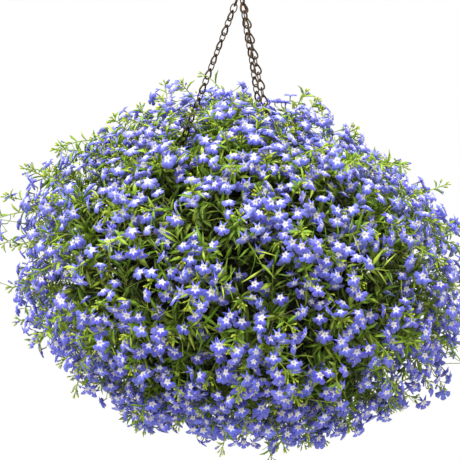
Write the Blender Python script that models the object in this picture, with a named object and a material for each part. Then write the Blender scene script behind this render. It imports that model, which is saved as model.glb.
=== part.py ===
"""Trailing lobelia in a hanging pot.

Metres, +Z up. The origin is the inside top of the hanging ring, where a bracket's hook carries it.
A pot on three chains holds the soil. Leafy, flowering sprays rise from the soil, run over the rim
and spread into a ball round the pot. Each spray grows into its own cell of that ball, so that no
spray crosses another.
"""

import math
import random
from collections import namedtuple

import bmesh
import bpy
from mathutils import Matrix, Vector

# The basket hangs turned a little about Z, and its chains and sprays with it
BASKET_TURN = 4.2

# Hanging ring, in the YZ plane, and chains
RING_RADIUS = 0.0165
RING_WIRE = 0.0015
RING_STEPS = 18
RING_CENTRE = Vector((0.0, 0.0, -(RING_RADIUS - RING_WIRE)))
CHAIN_AZIMUTHS = (180.0 + BASKET_TURN, 60.0 + BASKET_TURN, -60.0 + BASKET_TURN)
CHAIN_START_Y = (0.0, 0.0064, -0.0064)
CHAIN_LINKS = (16, 15, 15)
CHAIN_WIRE = 0.0011
LINK_HALF_WIDTH = 0.0042
LINK_END_HALF_WIDTH = 0.0033
LINK_HOOK = 0.0002
LINK_TWIST = 6.0
LINK_TWIST_STEP = 2.4
RUNNING_GAP = 0.0004

# Pot and soil
RIM_DROP = 0.257
RIM_Z = -(2.0 * RING_RADIUS - RING_WIRE) - RIM_DROP
POT_HEIGHT = 0.150
POT_WALL = 0.0025
POT_FOOT_BEVEL = 0.002
POT_RIM_RADIUS = 0.0885
POT_BASE_RADIUS = 0.063
FLANGE_RADIUS = 0.1015
FLANGE_THICKNESS = 0.0035
RIM_HOLE_PLACE = 0.0945
RIM_HOLE_RADIUS = 0.002
RIM_RING_RADIUS = 0.0055
RIM_RING_WIRE = 0.0009
RIM_RING_STEPS = 12
DRAIN_HOLES = 4
DRAIN_PLACE = 0.034
DRAIN_RADIUS = 0.005
ROUND_STEPS = 24
SOIL_DROP = 0.014
SOIL_MOUND = 0.004
SOIL_FLAT_RADIUS = 0.040
FIT_GAP = 0.0005

# Ball of foliage: half width, rise above its centre and drop below it. A roundness of 2 is an
# ellipsoid, and less draws its shoulders in. The lean makes one side fuller above and the other
# below: the first share on both sides alike, the second more on the right.
BALL_CENTRE = Vector((0.0, 0.0, RIM_Z - 0.044))
BALL_HALF_WIDTH = 0.268
BALL_RISE = 0.198
BALL_DROP = 0.213
BALL_ROUNDNESS = 1.80
LEAN = 0.065
LEAN_RIGHT = 0.035

# Bulges and hollows where the plant grew more or less: azimuth, polar angle and spread in degrees,
# and the share that they add to the ball's size
Lump = namedtuple("Lump", "azimuth polar spread share")
LUMPS = (
    Lump(180, 45, 12, -0.06),
    Lump(180, 70, 13, 0.06),
    Lump(180, 104, 10, 0.04),
    Lump(180, 130, 12, -0.03),
    Lump(180, 155, 10, 0.04),
    Lump(0, 178, 12, -0.04),
    Lump(0, 162, 7, 0.04),
    Lump(0, 146, 9, -0.10),
    Lump(0, 118, 12, 0.05),
    Lump(0, 62, 12, -0.05),
    Lump(60, 75, 16, 0.04),
    Lump(120, 112, 16, 0.04),
    Lump(90, 95, 14, -0.04),
    Lump(250, 80, 16, 0.04),
    Lump(300, 105, 14, -0.04),
)

# Cells, and the core in the middle of each
CELL_GAP = 0.003
CHAIN_LANE = 0.0075
CORE_REACH = 0.78
CORE_HALF_DEPTH = 0.020
CORE_MOST_HALF_WIDTH = 0.085
CORE_SCATTER = 0.04
CORE_SHRINK = 0.02
CROWN_CORE_POLAR = 17.0
ROOT_SPREAD = 0.75

# Stems, florets, leaves and sprigs
STEM_RADIUS = 0.0018
STEM_HOLE_RADIUS = 0.0027
STEM_HOLE_DEPTH = 0.010
FLORET_RADIUS = 0.032
FLORET_SHARES = (1.0, 0.88, 0.76)
FLORET_DOME = 0.002
FLORET_THROAT = 0.007
FLORET_REACH = (0.93, 1.0)
FLORET_SCATTER = 0.25
FLORET_ROLL = 25.0
FLORET_TRIES = 120
LEAF_LENGTH = 0.052
LEAF_HALF_WIDTH = 0.0075
LEAF_THICKNESS = 0.0022
LEAF_ROOT = (0.35, 0.7)
LEAF_SPLAY = (0.4, 1.3)
LEAF_TILT = 0.4
LEAF_TRIES = 400
SPRIG_RADIUS = 0.0016
SPRIG_REACH = (1.02, 1.07)
SPRIG_TRIES = 200
GROWTH_SEED = 41

# Lobelia floret seen from the front: angle in degrees from its right, and share of its radius.
# Three broad lobes point down and out, and two narrow ones point up.
FLORET_OUTLINE = (
    (-106, 1.00), (-74, 1.00), (-58, 0.34),
    (-46, 0.96), (-12, 0.96), (12, 0.26),
    (58, 0.78), (90, 0.22), (122, 0.78), (168, 0.26),
    (192, 0.96), (226, 0.96), (238, 0.34),
)

# Directions of the throat's corners, and the outline points where the back passes to the next one
THROAT_ANGLES = (-90.0, 30.0, 150.0)
THROAT_TURNS = (4, 8, 0)

# A tier is a ring of sprays between two polar angles, in degrees from straight up. first_azimuth is
# the middle of its first spray, and stem_turn how far the stems stand from the middle of their
# cells. A stem rises from the soil at soil_distance from the axis, and passes over the rim
# through points given as (distance from the axis, height over the rim).
Tier = namedtuple(
    "Tier",
    "name count low high florets leaves sprigs has_chains first_azimuth stem_turn "
    "soil_distance over_rim",
)
TIERS = (
    Tier("crown", 3, 0.0, 30.0, 3, 3, 1, True, 0.0, 0.0, 0.025, ()),
    Tier("shoulder", 6, 30.0, 62.0, 6, 4, 1, True, 30.0, 0.0, 0.045, ()),
    Tier("side", 12, 62.0, 92.0, 5, 3, 1, True, 15.0, 0.0, 0.069, ((0.093, 0.013),)),
    Tier("lower", 12, 92.0, 122.0, 5, 2, 1, False, 0.0, 7.5, 0.069, ((0.093, 0.013), (0.133, -0.016))),
    Tier("hanging", 6, 122.0, 156.0, 5, 3, 0, False, 30.0, 0.0, 0.058,
         ((0.093, 0.013), (0.121, -0.012), (0.119, -0.100))),
)


def clear_scene():
    """Empty the scene."""
    for thing in list(bpy.data.objects):
        bpy.data.objects.remove(thing, do_unlink=True)


def finish(name, colour, roughness, metallic=0.0):
    """Material with a plain colour."""
    material = bpy.data.materials.new(name)
    material.use_nodes = True
    shader = material.node_tree.nodes["Principled BSDF"]
    shader.inputs["Base Color"].default_value = (*colour, 1.0)
    shader.inputs["Roughness"].default_value = roughness
    shader.inputs["Metallic"].default_value = metallic
    return material


def solid(name, points, faces):
    """Object from a closed mesh, its faces turned outward."""
    mesh = bpy.data.meshes.new(name)
    shape = bmesh.new()
    corners = [shape.verts.new(point) for point in points]
    for face in faces:
        shape.faces.new([corners[index] for index in face])
    bmesh.ops.recalc_face_normals(shape, faces=shape.faces)
    shape.to_mesh(mesh)
    shape.free()
    thing = bpy.data.objects.new(name, mesh)
    bpy.context.scene.collection.objects.link(thing)
    return thing


def turned(name, profile, steps):
    """Solid turned round Z from a profile that starts and ends on the axis."""
    shape = bmesh.new()
    corners = [shape.verts.new((radius, 0.0, height)) for radius, height in profile]
    edges = [shape.edges.new(pair) for pair in zip(corners, corners[1:])]
    bmesh.ops.spin(
        shape,
        geom=corners + edges,
        cent=(0.0, 0.0, 0.0),
        axis=(0.0, 0.0, 1.0),
        angle=2.0 * math.pi,
        steps=steps,
    )
    bmesh.ops.remove_doubles(shape, verts=shape.verts, dist=1e-5)
    bmesh.ops.recalc_face_normals(shape, faces=shape.faces)
    mesh = bpy.data.meshes.new(name)
    shape.to_mesh(mesh)
    shape.free()
    thing = bpy.data.objects.new(name, mesh)
    bpy.context.scene.collection.objects.link(thing)
    return thing


def tube(name, path, radius, sides, closed=False):
    """Tube with flat ends along a path, or a ring where the path is closed and lies in a plane.

    A ring's section starts from its plane's normal, so that it closes without a twist.
    """
    path = [Vector(point) for point in path]
    count = len(path)
    points = []
    side = None
    for index, place in enumerate(path):
        ahead = path[(index + 1) % count] if closed or index + 1 < count else place
        behind = path[index - 1] if closed or index else place
        along = (ahead - behind).normalized()
        if side is None:
            side = (ahead - place).cross(place - behind) if closed else along.orthogonal()
            side.normalize()
        side = (side - along * side.dot(along)).normalized()
        across = along.cross(side)
        for corner in range(sides):
            turn = 2.0 * math.pi * corner / sides
            points.append(place + radius * (math.cos(turn) * side + math.sin(turn) * across))
    faces = []
    for index in range(count if closed else count - 1):
        start = index * sides
        end = (index + 1) % count * sides
        for corner in range(sides):
            beside = (corner + 1) % sides
            faces.append((start + corner, start + beside, end + beside, end + corner))
    if not closed:
        faces.append(tuple(range(sides)))
        faces.append(tuple(range((count - 1) * sides, count * sides)))
    return solid(name, points, faces)


def drill(name, place, radius, length, sides):
    """Upright cutter centred on a place."""
    ends = [place + Vector((0.0, 0.0, shift * length)) for shift in (-0.5, 0.5)]
    return tube(name, ends, radius, sides)


def combine(target, tools, operation, solver="EXACT"):
    """Join tools to the target, or cut them from it, and remove them."""
    group = bpy.data.collections.new("tools")
    bpy.context.scene.collection.children.link(group)
    for tool in tools:
        bpy.context.scene.collection.objects.unlink(tool)
        group.objects.link(tool)
    joint = target.modifiers.new("Combine", "BOOLEAN")
    joint.operation = operation
    joint.operand_type = "COLLECTION"
    joint.collection = group
    joint.solver = solver
    graph = bpy.context.evaluated_depsgraph_get()
    joined = bpy.data.meshes.new_from_object(target.evaluated_get(graph))
    target.modifiers.clear()
    target.data = joined
    for tool in tools:
        bpy.data.objects.remove(tool, do_unlink=True)
    bpy.data.collections.remove(group)
    keep_largest_body(joined)


def keep_largest_body(mesh):
    """Drop loose scraps and sealed hollows: only the surface with the most faces stays."""
    shape = bmesh.new()
    shape.from_mesh(mesh)
    unseen = set(shape.verts)
    bodies = []
    while unseen:
        edge_of_search = [unseen.pop()]
        body = set(edge_of_search)
        while edge_of_search:
            corner = edge_of_search.pop()
            for edge in corner.link_edges:
                other = edge.other_vert(corner)
                if other in unseen:
                    unseen.discard(other)
                    body.add(other)
                    edge_of_search.append(other)
        bodies.append(body)
    bodies.sort(key=len)
    scraps = [corner for body in bodies[:-1] for corner in body]
    bmesh.ops.delete(shape, geom=scraps, context="VERTS")
    shape.to_mesh(mesh)
    shape.free()


def dress(thing, material, smooth=True):
    """Give an object its material and shading."""
    thing.data.materials.clear()
    thing.data.materials.append(material)
    if smooth:
        thing.data.shade_smooth()
        thing.data.set_sharp_from_angle(angle=math.radians(40.0))


def round_points(centre, side, up, half_width, half_height, steps):
    """Points of an ellipse in the plane of two directions."""
    turns = [2.0 * math.pi * step / steps for step in range(steps)]
    return [
        centre + half_width * math.sin(turn) * side + half_height * math.cos(turn) * up
        for turn in turns
    ]


def outward(azimuth, polar=90.0):
    """Direction at an azimuth from +X and a polar angle from +Z, both in degrees."""
    turn = math.radians(azimuth)
    lean = math.radians(polar)
    return Vector((math.sin(lean) * math.cos(turn), math.sin(lean) * math.sin(turn), math.cos(lean)))


def make_hanging_ring(steel):
    """Plain welded ring that a bracket's hook carries."""
    side, up = Vector((0, 1, 0)), Vector((0, 0, 1))
    path = round_points(RING_CENTRE, side, up, RING_RADIUS, RING_RADIUS, RING_STEPS)
    dress(tube("hanging_ring", path, RING_WIRE, 5, closed=True), steel)


def rim_ring_centre(azimuth):
    """Middle of a rim ring: it passes down through the rim's hole and up outside its edge."""
    return outward(azimuth) * (RIM_HOLE_PLACE + RIM_RING_RADIUS) + Vector(
        (0.0, 0.0, RIM_Z - FLANGE_THICKNESS / 2.0)
    )


def ring_seat(start_y):
    """Centre of the hanging ring's wire at the place along Y where a chain's top link sits."""
    drop = math.sqrt(RING_RADIUS**2 - start_y**2)
    return RING_CENTRE + Vector((0.0, start_y, -drop))


def link_points(centre, side, along, half_length):
    """Centre line of an oval link, with six corners."""
    return [
        centre + across * side + turn * half_length * along
        for across, turn in (
            (LINK_END_HALF_WIDTH, -1.0),
            (LINK_HALF_WIDTH, 0.0),
            (LINK_END_HALF_WIDTH, 1.0),
            (-LINK_END_HALF_WIDTH, 1.0),
            (-LINK_HALF_WIDTH, 0.0),
            (-LINK_END_HALF_WIDTH, -1.0),
        )
    ]


def make_chain(number, azimuth, start_y, links, steel):
    """Chain of round-wire links, each turned a quarter from the last, from the ring to the rim ring."""
    seat = ring_seat(start_y)
    middle = rim_ring_centre(azimuth)
    along = (middle - seat).normalized()
    start = seat - along * (RING_WIRE + CHAIN_WIRE + RUNNING_GAP)
    hold = middle - along * (RIM_RING_RADIUS - RIM_RING_WIRE - CHAIN_WIRE - RUNNING_GAP)
    pitch = ((hold - start).length - LINK_HOOK) / links
    half_length = (pitch + LINK_HOOK) / 2.0
    flat = Vector((0, 0, 1)).cross(outward(azimuth))
    upright = along.cross(flat)
    loops = []
    for index in range(links):
        is_flat = (links - 1 - index) % 2 == 0
        side = flat if is_flat else upright
        centre = start + along * (half_length + index * pitch)
        twist = math.radians(LINK_TWIST * math.sin(LINK_TWIST_STEP * index + number))
        side = Matrix.Rotation(twist, 3, along) @ side
        path = link_points(centre, side, along, half_length)
        loops.append(tube(f"link_{index}", path, CHAIN_WIRE, 3, closed=True))
    loops[0].name = f"chain_{number}"
    combine(loops[0], loops[1:], "UNION", "MANIFOLD")
    dress(loops[0], steel)


def make_rim_ring(number, azimuth, steel):
    """Small split ring, closed, in the upright plane through the pot's axis."""
    path = round_points(
        rim_ring_centre(azimuth),
        outward(azimuth),
        Vector((0, 0, 1)),
        RIM_RING_RADIUS,
        RIM_RING_RADIUS,
        RIM_RING_STEPS,
    )
    dress(tube(f"rim_ring_{number}", path, RIM_RING_WIRE, 4, closed=True), steel)


def wall_radius(depth):
    """Outer radius of the pot's wall at a depth below the rim."""
    share = depth / POT_HEIGHT
    return POT_RIM_RADIUS + share * (POT_BASE_RADIUS - POT_RIM_RADIUS)


def make_pot(plastic):
    """Tapered shell with a flat rim, three rim holes and drain holes."""
    top = RIM_Z
    base = RIM_Z - POT_HEIGHT
    floor = base + POT_WALL
    profile = (
        (0.0, base),
        (POT_BASE_RADIUS - POT_FOOT_BEVEL, base),
        (POT_BASE_RADIUS, base + POT_FOOT_BEVEL),
        (wall_radius(FLANGE_THICKNESS), top - FLANGE_THICKNESS),
        (FLANGE_RADIUS, top - FLANGE_THICKNESS),
        (FLANGE_RADIUS, top),
        (POT_RIM_RADIUS - POT_WALL, top),
        (wall_radius(POT_HEIGHT - POT_WALL) - POT_WALL, floor),
        (0.0, floor),
    )
    pot = turned("pot", profile, ROUND_STEPS)
    cutters = []
    for azimuth in CHAIN_AZIMUTHS:
        place = outward(azimuth) * RIM_HOLE_PLACE + Vector((0, 0, top - FLANGE_THICKNESS / 2.0))
        cutters.append(drill("rim_hole", place, RIM_HOLE_RADIUS, 3.0 * FLANGE_THICKNESS, 6))
    for index in range(DRAIN_HOLES):
        place = outward(45.0 + 360.0 * index / DRAIN_HOLES) * DRAIN_PLACE + Vector((0, 0, base))
        cutters.append(drill("drain_hole", place, DRAIN_RADIUS, 4.0 * POT_WALL, 6))
    combine(pot, cutters, "DIFFERENCE")
    dress(pot, plastic)


def sprays():
    """Every spray's name, tier and cell: middle azimuth, half width in degrees and polar angles."""
    listed = []
    for tier in TIERS:
        width = 360.0 / tier.count
        for index in range(tier.count):
            azimuth = BASKET_TURN + tier.first_azimuth + width * index
            listed.append((f"spray_{tier.name}_{index + 1}", tier, azimuth, width / 2.0))
    return listed


def stem_base(tier, azimuth):
    """Place of a spray's stem in the soil, at the height of the rim."""
    return outward(azimuth + tier.stem_turn) * tier.soil_distance + Vector((0, 0, RIM_Z))


def make_soil(earth):
    """Low mound of potting soil that fills the pot, with a plain hole for each stem."""
    top = RIM_Z - SOIL_DROP
    floor = RIM_Z - POT_HEIGHT + POT_WALL + FIT_GAP
    profile = (
        (0.0, floor),
        (wall_radius(RIM_Z - floor) - POT_WALL - FIT_GAP, floor),
        (wall_radius(SOIL_DROP) - POT_WALL - FIT_GAP, top),
        (SOIL_FLAT_RADIUS, top + SOIL_MOUND),
        (0.0, top + SOIL_MOUND),
    )
    soil = turned("soil", profile, ROUND_STEPS)
    cutters = []
    for _, tier, azimuth, _ in sprays():
        place = stem_base(tier, azimuth) - Vector((0, 0, SOIL_DROP))
        length = 2.0 * STEM_HOLE_DEPTH
        cutters.append(drill("stem_hole", place, STEM_HOLE_RADIUS, length, 4))
    combine(soil, cutters, "DIFFERENCE")
    dress(soil, earth)


def swell(direction):
    """Share by which the lumps round a direction make the ball larger there, or smaller."""
    total = 0.0
    for lump in LUMPS:
        closeness = direction.dot(outward(lump.azimuth, lump.polar)) - 1.0
        total += lump.share * math.exp(closeness / (1.0 - math.cos(math.radians(lump.spread))))
    return total


def reach(direction):
    """Distance from the ball's centre to its surface, fuller at the upper left and lower right."""
    rise = BALL_RISE if direction.z > 0.0 else BALL_DROP
    flat = math.hypot(direction.x, direction.y)
    across = (flat / BALL_HALF_WIDTH) ** BALL_ROUNDNESS
    upright = (abs(direction.z) / rise) ** BALL_ROUNDNESS
    plain = (across + upright) ** (-1.0 / BALL_ROUNDNESS)
    sideways = direction.x / max(flat, 1e-6)
    lean = LEAN * sideways + LEAN_RIGHT * sideways**2
    return plain * (1.0 - lean * 2.0 * flat * direction.z) * (1.0 + swell(direction))


class Cell:
    """Wedge of the ball that one spray fills, between two azimuths and two polar angles."""

    def __init__(self, tier, azimuth, half_width):
        self.azimuth = azimuth
        self.half_width = half_width
        self.low = tier.low
        self.high = tier.high
        self.has_chains = tier.has_chains

    def side_gap(self, azimuth):
        """Clearance on a side plane, wide enough for a chain where one runs in it."""
        away = [abs((azimuth - chain + 180.0) % 360.0 - 180.0) for chain in CHAIN_AZIMUTHS]
        meets_chain = min(away) < 1.0
        return CHAIN_LANE if self.has_chains and meets_chain else CELL_GAP / 2.0

    def holds(self, point):
        """Whether a point lies inside the cell, clear of its borders."""
        away = point - BALL_CENTRE
        for turn in (-1.0, 1.0):
            border = self.azimuth + turn * self.half_width
            inward = -turn * outward(border + 90.0)
            if away.dot(inward) < self.side_gap(border):
                return False
        polar = math.degrees(away.angle(Vector((0, 0, 1))))
        slack = math.degrees(CELL_GAP / away.length)
        return (self.low == 0.0 or polar > self.low + slack) and polar < self.high - slack

    def pick(self, chance):
        """Random direction inside the cell, spread evenly over its area."""
        low = math.cos(math.radians(self.low))
        high = math.cos(math.radians(self.high))
        polar = math.degrees(math.acos(chance.uniform(high, low)))
        return outward(self.azimuth + chance.uniform(-1.0, 1.0) * self.half_width, polar)


def local_axes(direction, turn=0.0):
    """Right, up and outward directions on the ball's surface, rolled by a turn in degrees."""
    upward = Vector((0, 0, 1)) - direction * direction.z
    if upward.length < 0.05:
        upward = Vector((0, 1, 0)) - direction * direction.y
    upward.normalize()
    right = upward.cross(direction)
    roll = math.radians(turn)
    return (
        math.cos(roll) * right + math.sin(roll) * upward,
        math.cos(roll) * upward - math.sin(roll) * right,
        direction,
    )


def floret_points(place, axes, radius):
    """Corners of a floret: its outline, then its domed front and three round its throat."""
    right, upward, front = axes
    points = []
    for angle, share in FLORET_OUTLINE:
        turn = math.radians(angle)
        spread = math.cos(turn) * right + math.sin(turn) * upward
        points.append(place + radius * share * spread)
    points.append(place + FLORET_DOME * front)
    for angle in THROAT_ANGLES:
        turn = math.radians(angle)
        spread = math.cos(turn) * right + math.sin(turn) * upward
        points.append(place - FLORET_THROAT * front + STEM_RADIUS * spread)
    return points


def make_floret(points, root):
    """Five-lobed floret on a three-sided stalk that tapers down to its root."""
    count = len(FLORET_OUTLINE)
    front = count
    throat = count + 1
    tip = count + 4
    faces = [(index, (index + 1) % count, front) for index in range(count)]
    corner = 0
    for index in range(count):
        beside = (index + 1) % count
        faces.append((beside, index, throat + corner))
        if beside in THROAT_TURNS:
            following = (corner + 1) % 3
            faces.append((beside, throat + corner, throat + following))
            corner = following
    faces += [(throat + first, throat + (first + 1) % 3, tip) for first in range(3)]
    return solid("floret", points + [root], faces)


def make_sprig(root, tip, radius):
    """Slender three-sided shoot that tapers to its tip."""
    along = (tip - root).normalized()
    side = along.orthogonal().normalized()
    across = along.cross(side)
    points = [tip]
    for corner in range(3):
        turn = 2.0 * math.pi * corner / 3.0
        points.append(root + radius * (math.cos(turn) * side + math.sin(turn) * across))
    return solid("sprig", points, ((0, 1, 2), (0, 2, 3), (0, 3, 1), (1, 3, 2)))


def leaf_points(root, along, across):
    """Corners of a narrow leaf: root, widest places, tip and ridge."""
    ridge = along.cross(across).normalized()
    middle = root + 0.5 * LEAF_LENGTH * along
    return [
        root,
        middle + LEAF_HALF_WIDTH * across,
        root + LEAF_LENGTH * along,
        middle - LEAF_HALF_WIDTH * across,
        middle + LEAF_THICKNESS * ridge,
    ]


def make_leaf(points):
    """Lance-shaped leaf with a flat underside and a ridge."""
    faces = [(index, (index + 1) % 4, 4) for index in range(4)]
    return solid("leaf", points, faces + [(0, 3, 1), (1, 3, 2)])


def make_core(name, cell, chance):
    """Small inner bulk of a spray, as wide as its cell allows, that its leaves stand out of."""
    middle = outward(cell.azimuth, max((cell.low + cell.high) / 2.0, CROWN_CORE_POLAR))
    axes = local_axes(middle)
    centre = BALL_CENTRE + middle * CORE_REACH * reach(middle)
    sizes = []
    for axis in axes[:2]:
        size = CORE_MOST_HALF_WIDTH
        while not all(cell.holds(centre + sign * size * axis) for sign in (-1.0, 1.0)):
            size -= CELL_GAP / 3.0
        sizes.append(size * chance.uniform(1.0 - CORE_SCATTER, 1.0 + CORE_SCATTER))
    shape = bmesh.new()
    bmesh.ops.create_icosphere(shape, subdivisions=1, radius=1.0)
    basis = Matrix(axes).transposed().to_4x4()
    turn = Matrix.Rotation(chance.uniform(0.0, math.pi), 4, "Z")
    shrink = 1.0
    while True:
        scale = Matrix.Diagonal((shrink * sizes[0], shrink * sizes[1], CORE_HALF_DEPTH, 1.0))
        place = Matrix.Translation(centre) @ basis @ scale @ turn
        if all(cell.holds(place @ corner.co) for corner in shape.verts):
            break
        shrink -= CORE_SHRINK
    bmesh.ops.transform(shape, matrix=place, verts=shape.verts)
    mesh = bpy.data.meshes.new(name)
    shape.to_mesh(mesh)
    shape.free()
    core = bpy.data.objects.new(name, mesh)
    bpy.context.scene.collection.objects.link(core)
    return core, centre, axes, [shrink * size for size in sizes]


def root_near(place, centre, axes, sizes):
    """Point well inside the core, on the side of a place outside it."""
    away = place - centre
    spread = [ROOT_SPREAD * sizes[axis] for axis in (0, 1)]
    across = [max(-spread[axis], min(spread[axis], away.dot(axes[axis]))) for axis in (0, 1)]
    crowding = math.hypot(across[0] / spread[0], across[1] / spread[1])
    if crowding > 1.0:
        across = [value / crowding for value in across]
    return centre + across[0] * axes[0] + across[1] * axes[1]


def grow_florets(cell, count, core, chance):
    """Florets spread over the cell's outer face, each on a stalk from the core."""
    grown = []
    places = []
    for _ in range(count):
        best = (0.0, None, None)
        for _ in range(FLORET_TRIES):
            direction = cell.pick(chance)
            place = BALL_CENTRE + direction * reach(direction) * chance.uniform(*FLORET_REACH)
            scatter = Vector([chance.uniform(-FLORET_SCATTER, FLORET_SCATTER) for _ in range(3)])
            facing = (direction + scatter).normalized()
            axes = local_axes(facing, chance.uniform(-FLORET_ROLL, FLORET_ROLL))
            radius = FLORET_RADIUS * chance.choice(FLORET_SHARES)
            points = floret_points(place, axes, radius)
            spacing = min([(place - other).length for other in places], default=1.0)
            if spacing > best[0] and all(cell.holds(point) for point in points):
                best = (spacing, place, points)
        spacing, place, points = best
        if spacing > FLORET_RADIUS:
            places.append(place)
            grown.append(make_floret(points, root_near(place, *core)))
    return grown


def grow_leaves(cell, count, core, chance):
    """Leaves that stand out of the core between the florets."""
    centre, axes, sizes = core
    grown = []
    tries = 0
    while len(grown) < count and tries < LEAF_TRIES:
        tries += 1
        turn = chance.uniform(0.0, 2.0 * math.pi)
        spread = math.cos(turn) * axes[0] * sizes[0] + math.sin(turn) * axes[1] * sizes[1]
        root = centre + chance.uniform(*LEAF_ROOT) * spread
        along = (axes[2] + chance.uniform(*LEAF_SPLAY) * spread.normalized()).normalized()
        across = (along.cross(axes[2]) + LEAF_TILT * axes[2]).normalized()
        across = (across - along * across.dot(along)).normalized()
        points = leaf_points(root, along, across)
        if all(cell.holds(point) for point in points):
            grown.append(make_leaf(points))
    return grown


def grow_sprigs(cell, count, core, chance):
    """Thin shoots that reach past the florets."""
    grown = []
    tries = 0
    while len(grown) < count and tries < SPRIG_TRIES:
        tries += 1
        direction = cell.pick(chance)
        tip = BALL_CENTRE + direction * reach(direction) * chance.uniform(*SPRIG_REACH)
        root = root_near(tip, *core)
        if cell.holds(tip) and cell.holds(root):
            grown.append(make_sprig(root, tip, SPRIG_RADIUS))
    return grown


def stem_path(tier, azimuth, centre):
    """Path of a stem: out of its hole in the soil, over the rim and into the core."""
    base = stem_base(tier, azimuth)
    clear_of_floor = STEM_HOLE_DEPTH - 2.0 * FIT_GAP
    path = [
        base - Vector((0, 0, SOIL_DROP + clear_of_floor)),
        base - Vector((0, 0, SOIL_DROP - 2.0 * SOIL_MOUND)),
    ]
    for distance, height in tier.over_rim:
        path.append(outward(azimuth + tier.stem_turn) * distance + Vector((0, 0, RIM_Z + height)))
    return path + [centre]


def make_spray(name, tier, azimuth, half_width, chance, foliage):
    """One leafy, flowering spray, fused into one body."""
    cell = Cell(tier, azimuth, half_width)
    core, centre, axes, sizes = make_core(name, cell, chance)
    bulk = (centre, axes, sizes)
    pieces = [tube("stem", stem_path(tier, azimuth, centre), STEM_RADIUS, 3)]
    pieces += grow_florets(cell, tier.florets, bulk, chance)
    pieces += grow_leaves(cell, tier.leaves, bulk, chance)
    pieces += grow_sprigs(cell, tier.sprigs, bulk, chance)
    combine(core, pieces, "UNION")
    dress(core, foliage, smooth=False)


def build():
    """Make every piece of the hanging lobelia."""
    clear_scene()
    steel = finish("bronzed steel", (0.10, 0.075, 0.05), 0.45, 1.0)
    plastic = finish("dark green plastic", (0.02, 0.05, 0.025), 0.5)
    earth = finish("potting soil", (0.035, 0.022, 0.014), 0.95)
    foliage = finish("lobelia in flower", (0.16, 0.15, 0.62), 0.6)
    make_hanging_ring(steel)
    chains = zip(CHAIN_AZIMUTHS, CHAIN_START_Y, CHAIN_LINKS)
    for number, (azimuth, start_y, links) in enumerate(chains, start=1):
        make_chain(number, azimuth, start_y, links, steel)
        make_rim_ring(number, azimuth, steel)
    make_pot(plastic)
    make_soil(earth)
    chance = random.Random(GROWTH_SEED)
    for name, tier, azimuth, half_width in sprays():
        make_spray(name, tier, azimuth, half_width, chance, foliage)


build()
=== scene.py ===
# %% [markdown]
# # Trailing lobelia in its hanging pot
# The object is a pot on three chains, hidden in a ball of flowering lobelia.
# This lesson dresses the plain solids of the model: it keeps their sizes and their places, and
# gives every spray its fine stems, leaves, buds and flowers.
# All lengths are metres, +Z is up, and the origin is the inside top of the hanging ring.

# %% The frame
import math

import bpy
import numpy as np
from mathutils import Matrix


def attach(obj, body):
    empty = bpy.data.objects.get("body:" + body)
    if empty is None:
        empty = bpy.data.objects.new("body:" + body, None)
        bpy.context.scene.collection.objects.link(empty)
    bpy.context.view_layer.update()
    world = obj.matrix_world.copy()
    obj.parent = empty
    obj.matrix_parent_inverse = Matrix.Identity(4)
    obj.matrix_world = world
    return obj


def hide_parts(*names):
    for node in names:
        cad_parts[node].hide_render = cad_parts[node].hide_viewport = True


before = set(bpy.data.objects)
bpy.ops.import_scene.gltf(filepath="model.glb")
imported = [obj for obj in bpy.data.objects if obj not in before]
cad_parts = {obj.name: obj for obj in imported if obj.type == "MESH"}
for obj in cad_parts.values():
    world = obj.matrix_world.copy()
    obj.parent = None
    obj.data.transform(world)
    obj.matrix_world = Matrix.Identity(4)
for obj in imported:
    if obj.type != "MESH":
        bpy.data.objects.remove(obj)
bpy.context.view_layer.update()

# %% [markdown]
# ## The camera and the white studio
# The plant was photographed against plain white, from nearly its own height, with a long lens.
# A level photograph could be made with a shifted lens. A camera that looks down by a few
# degrees is simpler, and shows the soft upper side of the flowers as the photograph does.

# %% Camera
MM_PER_PIXEL = 1.12
PHOTO_SIDE = 460
AIM_X = -0.0112
AIM_Z = -0.2965
CAMERA_DISTANCE = 2.0
CAMERA_RISE = math.radians(7.0)
SENSOR = 36.0

view_width = PHOTO_SIDE * MM_PER_PIXEL / 1000.0
lens = bpy.data.cameras.new("camera")
lens.sensor_width = SENSOR
lens.lens = SENSOR * CAMERA_DISTANCE / view_width
lens.clip_end = 100.0
camera = bpy.data.objects.new("camera", lens)
bpy.context.scene.collection.objects.link(camera)
camera.location = (
    AIM_X,
    -CAMERA_DISTANCE * math.cos(CAMERA_RISE),
    AIM_Z + CAMERA_DISTANCE * math.sin(CAMERA_RISE),
)
camera.rotation_euler = (math.pi / 2.0 - CAMERA_RISE, 0.0, 0.0)
bpy.context.scene.camera = camera
bpy.context.scene.view_settings.view_transform = "Standard"
print("lens", round(lens.lens, 1), "mm, view", round(view_width, 3), "m wide")

# %% Colours and shader nodes
def srgb(code):
    """Linear colour of an sRGB hex code: each channel c becomes ((c + 0.055) / 1.055) ^ 2.4."""
    channels = [int(code[place : place + 2], 16) / 255.0 for place in (1, 3, 5)]
    linear = [c / 12.92 if c <= 0.04045 else ((c + 0.055) / 1.055) ** 2.4 for c in channels]
    return (*linear, 1.0)


def add(tree, kind, inputs=None, stops=(), **settings):
    """One shader node with its settings, its sockets filled by values or by other nodes.

    Stops are the places and hex colours of a colour ramp.
    """
    new = tree.nodes.new("ShaderNode" + kind)
    for name, value in settings.items():
        setattr(new, name, value)
    for number, (place, code) in enumerate(stops):
        bands = new.color_ramp.elements
        band = bands[number] if number < 2 else bands.new(place)
        band.position = place
        band.color = srgb(code)
    for socket, value in (inputs or {}).items():
        if isinstance(value, bpy.types.Node):
            tree.links.new(value.outputs[0], new.inputs[socket])
        elif isinstance(value, bpy.types.NodeSocket):
            tree.links.new(value, new.inputs[socket])
        else:
            new.inputs[socket].default_value = value
    return new


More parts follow.
